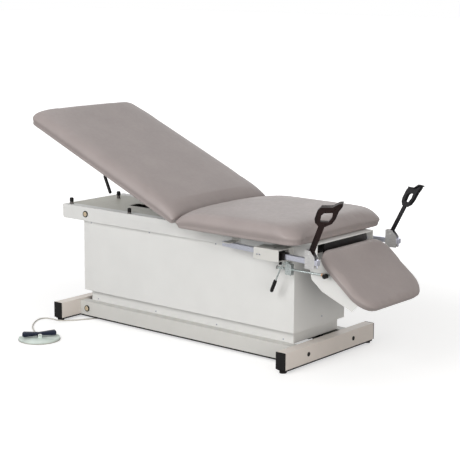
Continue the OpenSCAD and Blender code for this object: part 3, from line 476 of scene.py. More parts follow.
def make_cord():
    path = catmull([Vector(p) * MM for p in CORD_POINTS], CORD_STEPS)
    bm = bmesh.new()
    tube(bm, path, CORD_DIAMETER / 2 * MM, 16)
    cord = add_object("foot_cord", bm, "cord_jacket")
    place(cord, "base", "cord_jacket", "foot_switch_cord")
    start = path[0]
    direction = (path[4] - start).normalized()
    bm = bmesh.new()
    lathe(bm, start - direction * RELIEF_SUNK * MM, direction, relief_profile(), 24)
    relief = add_object("cord_relief", bm, "grey_rim")
    place(relief, "base", "mint_plastic", "strain_relief")


make_cord()


# Upholstery: each pad is inflated by cloth simulation from a slightly smaller form

# A form gives heights over the board at the sides and the crown, how sharply the arch falls across and
# along the pad, how far it drops at the head and foot ends, and how far the corners there dip
Form = namedtuple("Form", "edge crown across head_drop foot_drop along head_dip foot_dip")

# A pad's plan runs from x0 to x1 and -y to y with corner radii r0 and r1, from the board's underside
# z_board to its top z0. The crown begins side_run in from the sides, and head_run and foot_run times that
# in from the ends. The cover tucks in under the widest line, and a bevel is a height at x1 and its slope
Pad = namedtuple("Pad", "x0 x1 y r0 r1 z_board z0 form side_run head_run foot_run tuck bevel")

WIDEST = 0.52
START_SMALLER = 4
OUTLINE_STEPS = 10
OUTLINE_GAP = 24
LEAST_CORNER = 5
SIDE_RINGS = 5
SHOULDER_RINGS = 10
SHOULDER_CURVE = 2.4
TUCK_CURVE = 1.5
CREST_SHARES = (0.98, 0.95, 0.91, 0.86, 0.79, 0.7, 0.6, 0.48, 0.36, 0.24, 0.12, 0.04)
BEVEL_BLEND = 3


def dense(points, gap):
    """The same closed outline with its straight runs divided."""
    out = []
    for a, b in zip(points, points[1:] + points[:1]):
        count = max(1, round(math.dist(a, b) / gap))
        out += [(a[0] + (b[0] - a[0]) * k / count, a[1] + (b[1] - a[1]) * k / count) for k in range(count)]
    return out


def pad_top(u, v, form):
    """Height of a pad over its board, u along and v across its plan."""
    dip = form.head_dip if u < 0 else form.foot_dip
    drop = form.head_drop if u < 0 else form.foot_drop
    sides = form.edge * (1 - dip * abs(u) ** 6 * abs(v) ** 2.2)
    arch = (1 - drop * abs(u) ** form.along) * (1 - min(abs(v), 1) ** form.across)
    return sides + (form.crown - form.edge) * arch


def soft_min(a, b, blend):
    """The lower of two heights, rounded where they cross."""
    low = min(a, b)
    return low - blend * math.log(math.exp((low - a) / blend) + math.exp((low - b) / blend))


def pad_rings(pad):
    """Rings of the closed form from the board's underside over the sides to the crown."""
    mid, half = (pad.x0 + pad.x1) / 2, (pad.x1 - pad.x0) / 2
    rings = []

    def outline(inset, head=1, foot=1):
        near, far, side = START_SMALLER + inset * head, START_SMALLER + inset * foot, START_SMALLER + inset
        corners = max(pad.r0 - side, LEAST_CORNER), max(pad.r1 - side, LEAST_CORNER)
        points = rounded_outline(pad.x0 + near, pad.x1 - far, pad.y - side, *corners, OUTLINE_STEPS)
        return dense(points, OUTLINE_GAP)

    def ring(points, level):
        out = []
        for px, py in points:
            height = level * pad_top((px - mid) / half, py / pad.y, pad.form)
            if pad.bevel:
                height = soft_min(height, pad.bevel[0] + pad.bevel[1] * (pad.x1 - px), BEVEL_BLEND)
            out.append(Vector((px, py, pad.z0 + height)) * MM)
        rings.append(out)

    for inset, rise in ((10, 0), (5, 0.5), (2.5, 2.5), (1, 6)):
        rings.append([Vector((px, py, pad.z_board + rise)) * MM for px, py in outline(pad.tuck + inset)])
    for k in range(1, SIDE_RINGS + 1):
        t = k / SIDE_RINGS
        ring(outline(pad.tuck * (1 - t) ** TUCK_CURVE), WIDEST * t)
    for k in range(1, SHOULDER_RINGS + 1):
        t = k / SHOULDER_RINGS
        level = WIDEST + (1 - WIDEST) * (1 - (1 - t) ** SHOULDER_CURVE)
        ring(outline(pad.side_run * t, pad.head_run, pad.foot_run), level)
    crest = outline(pad.side_run, pad.head_run, pad.foot_run)
    for share in CREST_SHARES:
        ring([(mid + share * (px - mid), share * py) for px, py in crest], 1)
    return rings


def loft(bm, rings):
    """Skin between rings that may hold different numbers of points."""
    done = 9
    loops = [[bm.verts.new(p) for p in ring] for ring in rings]
    for a, b in zip(loops, loops[1:]):
        i = j = 0
        while i < len(a) or j < len(b):
            ahead_a = (i + 1) / len(a) if i < len(a) else done
            ahead_b = (j + 1) / len(b) if j < len(b) else done
            if ahead_a <= ahead_b:
                bm.faces.new((a[i % len(a)], b[j % len(b)], a[(i + 1) % len(a)]))
                i += 1
            else:
                bm.faces.new((a[i % len(a)], b[j % len(b)], b[(j + 1) % len(b)]))
                j += 1
    bm.faces.new(loops[0])
    bm.faces.new(list(reversed(loops[-1])))


CLOTH = {"quality": 4, "mass": 0.4, "tension_stiffness": 12, "compression_stiffness": 12,
         "bending_stiffness": 2, "use_pressure": True, "uniform_pressure_force": 4.0}
CLOTH_FRAMES = 20
SEATED_HEIGHT = 0.02


def inflate(obj, voxel, cap, floor_z):
    """Remesh, cloth pressure with gravity off, movement capped, and the seated underside left flat."""
    remesh = obj.modifiers.new("remesh", "REMESH")
    remesh.mode = "VOXEL"
    remesh.voxel_size = voxel
    apply_modifiers(obj)
    start = [v.co.copy() for v in obj.data.vertices]
    cloth = obj.modifiers.new("cloth", "CLOTH")
    for name, value in CLOTH.items():
        setattr(cloth.settings, name, value)
    cloth.settings.effector_weights.gravity = 0
    cloth.point_cache.frame_start = 1
    cloth.point_cache.frame_end = CLOTH_FRAMES
    scene = bpy.context.scene
    for number in range(1, CLOTH_FRAMES + 1):
        scene.frame_set(number)
    graph = bpy.context.evaluated_depsgraph_get()
    swollen = obj.evaluated_get(graph).to_mesh()
    moved = [v.co.copy() for v in swollen.vertices]
    obj.evaluated_get(graph).to_mesh_clear()
    obj.modifiers.clear()
    scene.frame_set(1)
    for v, a, b in zip(obj.data.vertices, start, moved):
        step = b - a
        if step.length > cap:
            step = step * (cap / step.length)
        v.co = a + step * smoothstep(floor_z, floor_z + SEATED_HEIGHT, a.z)


def relax(mesh, rounds):
    bm = bmesh.new()
    bm.from_mesh(mesh)
    for _ in range(rounds):
        bmesh.ops.smooth_vert(bm, verts=bm.verts, factor=0.5, use_axis_x=True, use_axis_y=True,
                              use_axis_z=True)
    bm.to_mesh(mesh)
    bm.free()


def fit_box(mesh, low, high):
    """Stretch the pad a little so that it fills the space its solid holds."""
    co = [v.co for v in mesh.vertices]
    now_low = Vector((min(c[i] for c in co) for i in range(3)))
    now_high = Vector((max(c[i] for c in co) for i in range(3)))
    for v in mesh.vertices:
        for i in range(3):
            t = (v.co[i] - now_low[i]) / (now_high[i] - now_low[i])
            v.co[i] = low[i] + t * (high[i] - low[i])


PLEAT_DEPTH = 1.6
PLEATS = 26
PLEAT_WANDER = 3
PLEAT_REACH = 0.6
CORNER_CENTRE = 0.4


def gather(mesh, pad):
    """Pleats where the cover is pulled round the corners and under the board."""
    height = pad.form.edge * PLEAT_REACH
    corners = [(x, side * (pad.y - r), r, end) for side in (1, -1)
               for x, r, end in ((pad.x1 - pad.r1, pad.r1, 1), (pad.x0 + pad.r0, pad.r0, -1))]
    for v in mesh.vertices:
        for cx, cy, r, end in corners:
            dx, dy = v.co.x / MM - cx, v.co.y / MM - cy
            outward = dx * end > 0 and dy * cy > 0
            if not outward or math.hypot(dx, dy) < r * CORNER_CENTRE:
                continue
            angle = math.atan2(dy, dx)
            wander = PLEAT_WANDER * noise.noise(Vector((cx, cy, angle * 3)))
            fold = 0.5 + 0.5 * math.sin(angle * PLEATS + wander)
            weight = 1 - smoothstep(pad.z_board, pad.z_board + height, v.co.z / MM)
            v.co -= Vector((dx, dy, 0)).normalized() * PLEAT_DEPTH * MM * fold ** 3 * weight


LINING_MARGIN = 34
LINING_SHEET = 0.7
LINING_CORNER = 12
STAPLE_MARGIN = LINING_MARGIN + 7
STAPLE_GAP = 34
STAPLE_HALF = (5, 0.5, 0.4)


def inset_outline(pad, margin, steps):
    """Outline of the pad's plan set in by a margin."""
    corners = max(pad.r0 - LINING_MARGIN, LINING_CORNER), max(pad.r1 - LINING_MARGIN, LINING_CORNER)
    return rounded_outline(pad.x0 + margin, pad.x1 - margin, pad.y - margin, *corners, steps)


def underside(name, pad, body, matrix):
    """Lining under the board, and the staples that hold it through the turned-in cover."""
    sheet = pad.z_board - LINING_SHEET
    outline = inset_outline(pad, LINING_MARGIN, 8)
    bm = bmesh.new()
    skin(bm, [[Vector((px, py, level)) * MM for px, py in outline] for level in (sheet, pad.z_board + 1)])
    lining = add_object(name + "_lining", bm, "dust_cloth")
    lining.data.transform(matrix)
    place(lining, body, "black_plastic")
    bm = bmesh.new()
    seam = dense(inset_outline(pad, STAPLE_MARGIN, 3), STAPLE_GAP)
    length, width, height = STAPLE_HALF
    for a, b in zip(seam, seam[1:] + seam[:1]):
        turn = Matrix.Rotation(math.atan2(b[1] - a[1], b[0] - a[0]), 4, "Z")
        at = Matrix.Translation(Vector((a[0], a[1], sheet - height / 2)) * MM) @ turn
        add_box(bm, -length, length, -width, width, -height, height, 0.2, 1, at)
    staples = add_object(name + "_staples", bm, "plated_steel")
    staples.data.transform(matrix)
    place(staples, body, "plated_steel")


RELAX_ROUNDS = 3
ALWAYS_SMOOTH = 180


def make_pad(name, pad, body, matrix, cap, voxel, replaced):
    rings = pad_rings(pad)
    bm = bmesh.new()
    loft(bm, rings)
    obj = add_object(name, bm, "vinyl", ALWAYS_SMOOTH)
    inflate(obj, voxel, cap, pad.z_board * MM)
    relax(obj.data, RELAX_ROUNDS)
    high = max(p.z for ring in rings for p in ring)
    fit_box(obj.data, Vector((pad.x0, -pad.y, pad.z_board)) * MM, Vector((pad.x1 * MM, pad.y * MM, high)))
    gather(obj.data, pad)
    subsurf = obj.modifiers.new("subsurf", "SUBSURF")
    subsurf.levels = 1
    subsurf.render_levels = 1
    apply_modifiers(obj)
    obj.data.transform(matrix)
    finish_mesh(obj.data, ALWAYS_SMOOTH)
    if not obj.data.materials:
        obj.data.materials.append(M["vinyl"])
    place(obj, body, "vinyl", *replaced)
    underside(name, pad, body, matrix)


# The back and the leg rest are drawn flat from their hinges, and turned to the photograph's pose
FRAME_TOP = 553
HINGE = Vector((62, 0, 575))
LEG_PIVOT = Vector((737.5, 0, 518))
BACK_ANGLE = math.radians(22.9)
LEG_ANGLE = math.radians(40)
AS_DRAWN = Matrix.Identity(4)
BACK_TURN = Matrix.Translation(HINGE * MM) @ Matrix.Rotation(BACK_ANGLE, 4, "Y")
LEG_TURN = Matrix.Translation(LEG_PIVOT * MM) @ Matrix.Rotation(LEG_ANGLE, 4, "Y")

SEAT_FORM = Form(edge=60, crown=77, across=7.3, head_drop=0.6, foot_drop=0.95, along=6.7, head_dip=0.78,
                 foot_dip=0.75)
BACK_FORM = Form(edge=45.5, crown=74.2, across=6.8, head_drop=-0.05, foot_drop=0.29, along=1.5,
                 head_dip=0.17, foot_dip=0.62)
LEG_FORM = Form(edge=24, crown=32.7, across=4, head_drop=0.2, foot_drop=0.2, along=3, head_dip=0.25,
                foot_dip=0.25)
SEAT_PAD = Pad(x0=86, x1=749, y=344, r0=13, r1=74, z_board=FRAME_TOP + 0.4, z0=565.3, form=SEAT_FORM,
               side_run=27, head_run=0.6, foot_run=2.9, tuck=13, bevel=None)
BACK_PAD = Pad(x0=-982, x1=9, y=348, r0=26, r1=16, z_board=-6.4, z0=6.3, form=BACK_FORM,
               side_run=23.6, head_run=0.7, foot_run=1, tuck=12, bevel=(27, 0.45))
LEG_PAD = Pad(x0=34.1, x1=369.1, y=238, r0=84, r1=104, z_board=8.8, z0=20.7, form=LEG_FORM,
              side_run=22, head_run=1, foot_run=1, tuck=8, bevel=None)

make_pad("seat_pad", SEAT_PAD, "top_frame", AS_DRAWN, 0.007, 0.006, ("seat_cushion", "seat_board"))
make_pad("back_pad", BACK_PAD, "back", BACK_TURN, 0.007, 0.006, ("back_cushion", "back_board"))
make_pad("leg_pad", LEG_PAD, "leg_rest", LEG_TURN, 0.006, 0.005, ("leg_cushion", "leg_board"))


# Carried-over nodes: each gets its finish and the width of its rounded edges

FINISHES = {
    "base_cross_tubes": ("base_paint", 4.0), "base_side_rails": ("shaded_rail_paint", 1.0),
    "base_cross_members": ("base_paint", 1.0), "tube_end_caps": ("black_plastic", 1.5),
    "tube_hole_plugs": ("black_plastic", 0.5), "levelling_feet": ("black_plastic", 0.8),
    "base_pivot_bolts": ("plated_steel", 0.6), "lower_shroud": ("white_paint", 0.5),
    "control_box": ("black_paint", 1.5), "foot_switch_base": ("mint_plastic", 2.0),
    "lift_arms": ("black_paint", 0.8), "lift_cross_tube": ("black_paint", 0.0),
    "lift_arm_bolts": ("plated_steel", 0.5), "top_rollers": ("black_plastic", 0.8),
    "cross_arms": ("black_paint", 0.8), "cross_arm_tube": ("black_paint", 0.0),
    "base_rollers": ("black_plastic", 0.8), "actuator_cylinder": ("plated_steel", 0.5),
    "actuator_motor": ("black_paint", 1.0), "actuator_rod": ("plated_steel", 0.5),
    "actuator_pins": ("plated_steel", 0.5), "top_side_channels": ("white_paint", 1.0),
    "top_panel": ("cream_paint", 0.8), "frame_end_channels": ("white_paint", 0.8),
    "upper_shroud": ("white_paint", 0.5), "frame_pivot_bolts": ("dark_steel", 0.5),
    "back_hinge_brackets": ("plated_steel", 0.4), "stirrup_housings": ("shaded_rail_paint", 1.0),
    "gas_spring_cylinder": ("black_paint", 0.5), "gas_spring_rod": ("plated_steel", 0.4),
    "back_rails": ("plated_steel", 0.4), "release_lever": ("black_plastic", 1.0),
    "leg_side_plates": ("white_paint", 0.6), "leg_pivot_bolts": ("plated_steel", 0.5),
    "support_rod": ("zinc_clamp", 0.6), "rod_knob": ("black_plastic", 1.0),
    "rod_clamp": ("zinc_clamp", 1.2),
    "stirrup_guide_left": ("black_paint", 0.8), "stirrup_guide_right": ("black_paint", 0.8),
    "stirrup_bar_left": ("bar_steel", 1.0), "stirrup_bar_right": ("bar_steel", 1.0),
    "stirrup_bracket_left": ("bright_steel", 0.5), "stirrup_bracket_right": ("bright_steel", 0.5),
    "heel_loop_left": ("loop_far_cool_light", 1.2), "heel_loop_right": ("loop_near_warm_light", 1.2),
    "stirrup_plunger_left": ("black_plastic", 0.6), "stirrup_plunger_right": ("black_plastic", 0.6),
}

# Record slots of the finishes that aren't named after their own
SLOTS = {"shaded_rail_paint": "base_paint", "dark_steel": "plated_steel", "bar_steel": "plated_steel",
         "bright_steel": "plated_steel", "loop_near_warm_light": "black_paint", "loop_far_cool_light": "black_paint"}

COPLANAR = math.radians(0.6)
ROUNDED_FROM = math.radians(30)
ROUNDED_LEAST = 4.0


def refine(node, finish, width):
    """A copy of the node's own form with its coplanar faces joined and its long edges rounded."""
    bm = bmesh.new()
    bm.from_mesh(nodes[node].data)
    bmesh.ops.remove_doubles(bm, verts=bm.verts, dist=WELD_DISTANCE)
    bmesh.ops.dissolve_limit(bm, angle_limit=COPLANAR, verts=bm.verts, edges=bm.edges)
    edges = [e for e in bm.edges if len(e.link_faces) == 2 and e.calc_face_angle(0) > ROUNDED_FROM
             and e.calc_length() > ROUNDED_LEAST * MM]
    if width and edges:
        bmesh.ops.bevel(bm, geom=edges, offset=width * MM, segments=2, profile=0.5, affect="EDGES",
                        clamp_overlap=True)
    obj = add_object(node + "_piece", bm, finish)
    modifier = obj.modifiers.new("weighted", "WEIGHTED_NORMAL")
    modifier.keep_sharp = True
    apply_modifiers(obj)
    place(obj, nodes[node]["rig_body"], SLOTS.get(finish, finish), node)


for node_name, (finish_name, edge_width) in FINISHES.items():
    refine(node_name, finish_name, edge_width)


# Pieces drawn afresh where the photograph shows more than the solids hold

SIDES = (-1, 1)
ROD_Y = -226
CLAMP_X = 640
CLAMP_Z = 429
# Black blocks under the base paint the shadow on the floor that shows in the gap beneath the tubes and
# rails
GAP_SHADE_TOP = 16.2
TUBE_GAP_SHADE = {"low": 9.4, "end": 1.5, "side": 6}
RAIL_GAP_SHADE = {"low": 9, "end": 3, "inner": 176, "outer": 208.5}
LEAST_GAP_SHADE = 300


def make_base_gap_shade():
    """Black blocks of painted shade in the gap under the cross tubes and the side rails, where the floor
    beneath lies in shadow.
    """
    bm = bmesh.new()
    for node in ("base_cross_tubes", "base_side_rails"):
        for low, high in islands(nodes[node].data):
            low, high = low / MM, high / MM
            if max(high - low) < LEAST_GAP_SHADE:
                continue
            if node == "base_side_rails":
                side = 1 if low.y + high.y > 0 else -1
                y0, y1 = sorted((side * RAIL_GAP_SHADE["inner"], side * RAIL_GAP_SHADE["outer"]))
                x0, x1 = low.x + RAIL_GAP_SHADE["end"], high.x - RAIL_GAP_SHADE["end"]
                add_box(bm, x0, x1, y0, y1, RAIL_GAP_SHADE["low"], GAP_SHADE_TOP, 0.8)
            else:
                x0, x1 = low.x + TUBE_GAP_SHADE["end"], high.x - TUBE_GAP_SHADE["end"]
                y0, y1 = low.y + TUBE_GAP_SHADE["side"], high.y - TUBE_GAP_SHADE["side"]
                add_box(bm, x0, x1, y0, y1, TUBE_GAP_SHADE["low"], GAP_SHADE_TOP, 0.8)
    place(add_object("base_gap_shade", bm, "black_plastic"), "base", "black_plastic")


HOUSING_FACE_Y = 318
HOUSING_SCREWS_X = (534.2, 547.7)
HOUSING_SCREWS_Z = 495.4
SOCKET_HEAD = [(-0.5, 4), (1.4, 4), (2.2, 3.4), (2.2, 2.2), (1.2, 2)]
SOCKET = [(1, 2.1), (1.4, 2.1)]


def make_housing_screws():
    """Two small socket screws on the outer face of each stirrup housing, with painted shade as a black disc
    at the bottom of each socket.
    """
    heads, socket_shades = bmesh.new(), bmesh.new()
    for side in SIDES:
        for x in HOUSING_SCREWS_X:
            start = Vector((x, side * HOUSING_FACE_Y, HOUSING_SCREWS_Z)) * MM
            lathe(heads, start, Vector((0, side, 0)), SOCKET_HEAD, 28)
            lathe(socket_shades, start, Vector((0, side, 0)), SOCKET, 6)
    place(add_object("housing_screws", heads, "plated_steel"), "top_frame", "plated_steel")
    place(add_object("housing_sockets", socket_shades, "black_plastic"), "top_frame", "black_plastic")


RECESS_HALF = 0.45
RECESS_LOW, RECESS_HIGH = -0.3, 0.12
RECESS_TURN = 0.4


def make_screws(node):
    """Pan-head screws with a cross recess drawn as a black cross of painted shade, one for each small disc
    of the node.
    """
    body = nodes[node]["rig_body"]
    heads, recess_shades = bmesh.new(), bmesh.new()
    for low, high in islands(nodes[node].data):
        size = high - low
        axis = min(range(3), key=lambda i: size[i])
        radius = max(size) / 2 / MM
        height = size[axis] / MM
        outward = Vector((0, 0, 0))
        outward[axis] = 1 if (low[axis] + high[axis] > 0) else -1
        start = (low + high) / 2 - outward * size[axis] / 2
        pan = [(-0.5, radius), (height * 0.35, radius), (height * 0.75, radius * 0.86),
               (height, radius * 0.55), (height, 0)]
        lathe(heads, start, outward, pan, 28)
        turn = outward.to_track_quat("Z", "Y").to_matrix().to_4x4() @ Matrix.Rotation(RECESS_TURN, 4, "Z")
        at = Matrix.Translation(start + outward * height * MM) @ turn
        for x, y in ((radius * 0.5, RECESS_HALF), (RECESS_HALF, radius * 0.5)):
            add_box(recess_shades, -x, x, -y, y, RECESS_LOW, RECESS_HIGH, 0.05, 1, at)
    place(add_object(node + "_heads", heads, "plated_steel"), body, "plated_steel", node)
    place(add_object(node + "_recesses", recess_shades, "black_plastic"), body, "black_plastic")


# Place, radius, height of the stem and height over all of each bumper
BUMPERS = ((-732, -183, 10, 10, 31), (-672, 84, 10, 14, 36), (-329, -197, 9, 6, 26.5),
           (-329, 197, 9, 6, 26.5))


def make_bumpers():
    """Domed rubber stops on grey stems."""
    domes, stems = bmesh.new(), bmesh.new()
    for x, y, r, stem, h in BUMPERS:
        start = Vector((x, y, FRAME_TOP)) * MM
        lathe(stems, start, UP, [(-0.5, 10.5), (1, 10.5), (1.8, 8.6), (stem + 1, 8.2)])
        shoulder = [(stem, r - 1.4), (stem + 0.8, r - 0.3), (stem + 2, r), (h - 5, r)]
        dome = [(h - 3, r - 0.5), (h - 1.4, r - 2), (h - 0.4, r - 4.2), (h, r - 7)]
        lathe(domes, start, UP, shoulder + dome)
    place(add_object("bumper_domes", domes, "black_plastic"), "top_frame", "black_plastic", "bumpers")
    place(add_object("bumper_stems", stems, "dark_steel"), "top_frame", "plated_steel")


LEVER_Y = -243.3
LEVER_R = 3.7
LEVER_EYE_RISE = 31
# Bends of the clamp lever, along and up from the clamp's pivot
LEVER_BENDS = ((7, 31), (0, 31), (-12, 29), (-23, 22), (-32, 11), (-39, -3), (-48, -23), (-57, -44),
               (-65, -60))
EYE_NUT = [(0, 7.2), (0.6, 8), (5.6, 8), (6.2, 7.2), (6.2, 5), (8.6, 5), (9.2, 4.2)]
GRIP_START = (-64, -56)
GRIP_LEAN = Vector((-0.3827, 0, -0.9239))
GRIP_R = 8
GRIP_GROOVES = 7
GRIP_PITCH = 6


def grip_profile():
    """Neck, ring grooves and rounded end of the clamp lever's grip."""
    neck = [(-3, 4.4), (-2, 6.6), (0, 7.6)]
    end = [(50, GRIP_R), (54, 6.9), (57, 4.4), (58, 1)]
    grooves = []
    for k in range(GRIP_GROOVES):
        at = 5 + GRIP_PITCH * k
        grooves += [(at, GRIP_R), (at + 0.8, GRIP_R - 0.5), (at + 1.6, GRIP_R - 0.5), (at + 2.4, GRIP_R)]
    return neck + grooves + end


def make_clamp_lever():
    """Bent rod from the clamp's eye bolt to a ribbed grip."""
    body = nodes["clamp_lever"]["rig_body"]
    bends = [Vector((CLAMP_X + along, LEVER_Y, CLAMP_Z + rise)) * MM for along, rise in LEVER_BENDS]
    bm = bmesh.new()
    tube(bm, catmull(bends, 6), LEVER_R * MM)
    eye = Vector((CLAMP_X, LEVER_Y + 3.2, CLAMP_Z + LEVER_EYE_RISE)) * MM
    lathe(bm, eye, Vector((0, -1, 0)), EYE_NUT, 6)
    place(add_object("clamp_lever_rod", bm, "zinc_clamp"), body, "zinc_clamp", "clamp_lever")
    bm = bmesh.new()
    start = Vector((CLAMP_X + GRIP_START[0], LEVER_Y, CLAMP_Z + GRIP_START[1])) * MM
    lathe(bm, start, GRIP_LEAN, grip_profile())
    place(add_object("clamp_lever_grip", bm, "black_plastic"), body, "black_plastic")


CLIP_X = 570.8
CLIP = [(0, 7.4), (0.3, 7.8), (1.2, 7.8), (1.5, 7.4), (1.5, 4.8)]
NUT_X = 811
NUT = [(0, 6.4), (1, 8.4), (11, 8.4), (12, 6.4)]
WASHER_X = 806
WASHER = [(0, 6.2), (0.5, 6.8), (4.5, 6.8), (5, 6.2)]


def make_rod_details():
    """Retaining clip on the head end of the support rod, and the brass nut near its knob."""
    body = nodes["support_rod"]["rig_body"]
    bm = bmesh.new()
    lathe(bm, Vector((CLIP_X, ROD_Y, CLAMP_Z)) * MM, FOOTWARD, CLIP)
    place(add_object("rod_clip", bm, "dark_steel"), body, "zinc_clamp")
    bm = bmesh.new()
    lathe(bm, Vector((NUT_X, ROD_Y, CLAMP_Z)) * MM, FOOTWARD, NUT, 6)
    lathe(bm, Vector((WASHER_X, ROD_Y, CLAMP_Z)) * MM, FOOTWARD, WASHER)
    place(add_object("rod_nut", bm, "brass"), body, "zinc_clamp")


PIVOT_X = -607
# Name, body, outer face and height of the two pairs of lift pivots
PIVOTS = (("frame", "top_frame", 212, 519), ("rail", "base", 210, 50))
PIVOT_RING = [(0, 15.4), (3.6, 15.4), (5.4, 14.2), (5.4, 11.6), (3.8, 11), (0, 11)]
PIVOT_CAP = [(0, 11.3), (4.4, 11.1), (5, 10.2), (5.2, 5), (4.4, 4), (4.2, 0.5)]


def make_bolt_caps():
    """Tan caps in the dark rings of the lift pivots, on the side channels and on the base rails."""
    for name, body, face, z in PIVOTS:
        rings, caps = bmesh.new(), bmesh.new()
        for side in SIDES:
            start = Vector((PIVOT_X, side * face, z)) * MM
            lathe(rings, start, Vector((0, side, 0)), PIVOT_RING, 48)
            lathe(caps, start, Vector((0, side, 0)), PIVOT_CAP, 40)
        place(add_object(name + "_pivot_rings", rings, "black_plastic"), body, "black_plastic")
        place(add_object(name + "_pivot_caps", caps, "tan_cap"), body, "cream_paint")


# Low and high of x, y and z of the black strips of painted shade in the foot end channel's mouth and at its
# back
CHANNEL_BACK = (705, 706.4, -206, 206, 491, 547)
CHANNEL_MOUTH = (763, 769.4, -160, 160, 502, 548.6)


def make_end_channel_shade():
    """Black strips that paint the shade inside the foot end channel."""
    bm = bmesh.new()
    add_box(bm, *CHANNEL_BACK, 0.5)
    add_box(bm, *CHANNEL_MOUTH, 1)
    place(add_object("end_channel_shade", bm, "black_paint"), "top_frame", "black_paint")


FOOT_PLACE = Vector((-496, -629, 0))
FOOT_TURN = math.radians(-34)
ROCKER_HALF = 79
ROCKER_RINGS = 40
ROCKER_SIDES = 28
ROCKER_TIP = 0.86
ROCKER_SQUARENESS = 0.45
RIM_FLAT = -38
RIM_STEPS = 48
# Height and radius of each step of the grey rim
RIM_LEVELS = ((0.3, 95.5), (1, 97), (4, 97), (5, 95.8))
RIB_RADII = (48, 60, 72, 82)
RIB_SPREAD = 58
RIB_STEPS = 30
RIB_TOP = 12
RIB_R = 1.1


def rounded_box_point(angle, half_x, half_z):
    """Point of a squarish oval."""
    cx, cz = math.cos(angle), math.sin(angle)
    return (half_x * math.copysign(abs(cx) ** ROCKER_SQUARENESS, cx),
            half_z * math.copysign(abs(cz) ** ROCKER_SQUARENESS, cz))


def rocker_rings():
    """Sections along the rocker, low and narrow at its middle and rounded off at its tips."""
    rings = []
    for k in range(ROCKER_RINGS + 1):
        y = -ROCKER_HALF + 2 * ROCKER_HALF * (0.5 - 0.5 * math.cos(math.pi * k / ROCKER_RINGS))
        t = abs(y) / ROCKER_HALF
        past = (t - ROCKER_TIP) / (1 - ROCKER_TIP)
        tip = math.sqrt(max(1 - past ** 2, 0.02)) if past > 0 else 1
        width = (10.5 + 4.5 * t) * tip
        top = 17 + (18 + 7 * t) * (0.45 + 0.55 * tip)
        bottom = 17 + 4.5 * (1 - t) + 6 * (1 - tip)
        ring = []
        for i in range(ROCKER_SIDES):
            x, z = rounded_box_point(2 * math.pi * i / ROCKER_SIDES, width, (top - bottom) / 2)
            ring.append(Vector((x, y, (top + bottom) / 2 + z)) * MM)
        rings.append(ring)
    return rings


def rim_outline(radius):
    """Circle cut off by the straight side of the foot control."""
    edge = math.acos(RIM_FLAT / radius)
    angles = [-edge + 2 * edge * i / RIM_STEPS for i in range(RIM_STEPS + 1)]
    return [(radius * math.cos(a), radius * math.sin(a)) for a in angles]


def make_foot_control():
    """Bow-tie rocker over a ribbed base with a grey foot rim."""
    at = Matrix.Translation(FOOT_PLACE * MM) @ Matrix.Rotation(FOOT_TURN, 4, "Z")
    rocker, rim, ribs = bmesh.new(), bmesh.new(), bmesh.new()
    skin(rocker, rocker_rings())
    skin(rim, [[Vector((px, py, z)) * MM for px, py in rim_outline(radius)] for z, radius in RIM_LEVELS])
    for radius in RIB_RADII:
        angles = [math.radians(-RIB_SPREAD + 2 * RIB_SPREAD * i / RIB_STEPS) for i in range(RIB_STEPS + 1)]
        path = [Vector((radius * math.cos(a), radius * math.sin(a), RIB_TOP)) * MM for a in angles]
        tube(ribs, path, RIB_R * MM, 10)
    for bm in (rocker, rim, ribs):
        bmesh.ops.transform(bm, matrix=at, verts=bm.verts)
    place(add_object("rocker", rocker, "navy_plastic"), "foot_rocker", "navy_plastic", "foot_switch_rocker")
    place(add_object("foot_rim", rim, "grey_rim"), "base", "mint_plastic")
    place(add_object("foot_ribs", ribs, "mint_plastic"), "base", "mint_plastic")


make_base_gap_shade()
make_housing_screws()
make_screws("lower_shroud_screws")
make_screws("upper_shroud_screws")
make_bumpers()
make_clamp_lever()
make_rod_details()
make_bolt_caps()
make_end_channel_shade()
make_foot_control()


# Studio, in metres: each lamp has its place, what it points at, its size, its power and its tint

MIDDLE = (0.1, 0, 0.45)
LAMPS = {
    "key": ((-0.3, -3.9, 2.4), MIDDLE, (2.8, 2.2), 101, (1, 1, 1)),
    "top": ((-1.9, 0.4, 3.4), MIDDLE, (2.6, 2.6), 17, (1, 1, 1)),
    "side": ((3.2, -1.4, 2.9), MIDDLE, (2.2, 2.0), 18, (1, 0.98, 0.95)),
    "foot": ((3.6, -1.9, 0.8), (0.6, 0, 0.2), (1.8, 1.2), 34, (1, 0.97, 0.93)),
    "rear": ((-1.2, 3.4, 1.8), MIDDLE, (2.5, 2.0), 10, (1, 1, 1)),
}
WORLD_LIGHT = {"Color": (1, 0.985, 0.965, 1), "Strength": 0.32}
WORLD_BACKGROUND = {"Color": WHITE, "Strength": 1.0}
FLOOR_HALF = 40
FLOOR_FINISH = {"Base Color": (0.60, 0.60, 0.60, 1), "Roughness": 0.8, "Specular IOR Level": 0.1}
FLOOR_FADE = {"From Min": 0.7, "From Max": 3.4, "To Min": 0.55, "To Max": 1}


def make_lamps():
    for name, (location, target, size, power, tint) in LAMPS.items():
        data = bpy.data.lights.new(name, "AREA")
        data.energy = power
        data.color = tint
        data.shape = "RECTANGLE"
        data.size, data.size_y = size
        lamp = bpy.data.objects.new(name, data)
        lamp.location = location
        lamp.rotation_euler = (Vector(target) - Vector(location)).to_track_quat("-Z", "Y").to_euler()
        bpy.context.scene.collection.objects.link(lamp)


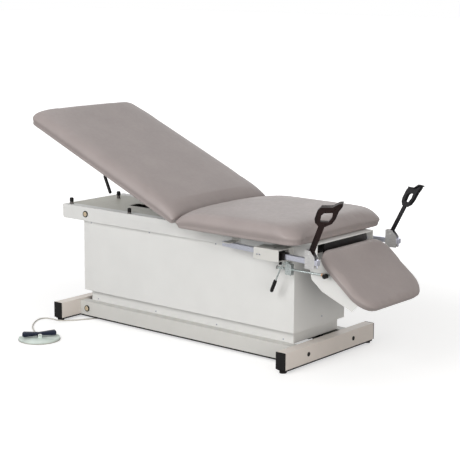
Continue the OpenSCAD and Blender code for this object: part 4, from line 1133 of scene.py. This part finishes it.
def make_world():
    """Soft light on the object, and plain white for what the camera, gloss and glass see."""
    world = bpy.data.worlds.new("studio")
    bpy.context.scene.world = world
    world.use_nodes = True
    tree = world.node_tree
    tree.nodes.clear()
    soft = add_node(tree, "ShaderNodeBackground", WORLD_LIGHT)
    white = add_node(tree, "ShaderNodeBackground", WORLD_BACKGROUND)
    path = add_node(tree, "ShaderNodeLightPath")
    seen = combine(tree, "MAXIMUM", path.outputs["Is Camera Ray"], path.outputs["Is Glossy Ray"])
    seen = combine(tree, "MAXIMUM", seen, path.outputs["Is Transmission Ray"])
    mix = add_node(tree, "ShaderNodeMixShader")
    tree.links.new(seen, mix.inputs[0])
    tree.links.new(soft.outputs[0], mix.inputs[1])
    tree.links.new(white.outputs[0], mix.inputs[2])
    output = add_node(tree, "ShaderNodeOutputWorld")
    tree.links.new(mix.outputs[0], output.inputs["Surface"])


def floor_material():
    """Grey floor that keeps the shadow, with a glow that fades it into white for the camera."""
    material = bpy.data.materials.new("floor")
    material.use_nodes = True
    tree = material.node_tree
    shader = tree.nodes["Principled BSDF"]
    for socket, value in FLOOR_FINISH.items():
        shader.inputs[socket].default_value = value
    coords = add_node(tree, "ShaderNodeTexCoord")
    reach = add_node(tree, "ShaderNodeVectorMath")
    reach.operation = "LENGTH"
    tree.links.new(coords.outputs["Object"], reach.inputs[0])
    fade = add_node(tree, "ShaderNodeMapRange", FLOOR_FADE)
    fade.interpolation_type = "SMOOTHSTEP"
    tree.links.new(reach.outputs["Value"], fade.inputs["Value"])
    path = add_node(tree, "ShaderNodeLightPath")
    strength = combine(tree, "MULTIPLY", path.outputs["Is Camera Ray"], fade.outputs["Result"])
    glow = add_node(tree, "ShaderNodeEmission", {"Color": WHITE})
    tree.links.new(strength, glow.inputs["Strength"])
    total = add_node(tree, "ShaderNodeAddShader")
    tree.links.new(shader.outputs[0], total.inputs[0])
    tree.links.new(glow.outputs[0], total.inputs[1])
    tree.links.new(total.outputs[0], tree.nodes["Material Output"].inputs["Surface"])
    return material


def make_floor():
    bm = bmesh.new()
    bmesh.ops.create_grid(bm, x_segments=24, y_segments=24, size=FLOOR_HALF)
    mesh = bpy.data.meshes.new("floor")
    bm.to_mesh(mesh)
    bm.free()
    mesh.materials.append(floor_material())
    floor = bpy.data.objects.new("floor", mesh)
    bpy.context.scene.collection.objects.link(floor)


make_lamps()
make_world()
make_floor()
bpy.context.scene.view_settings.view_transform = "Standard"
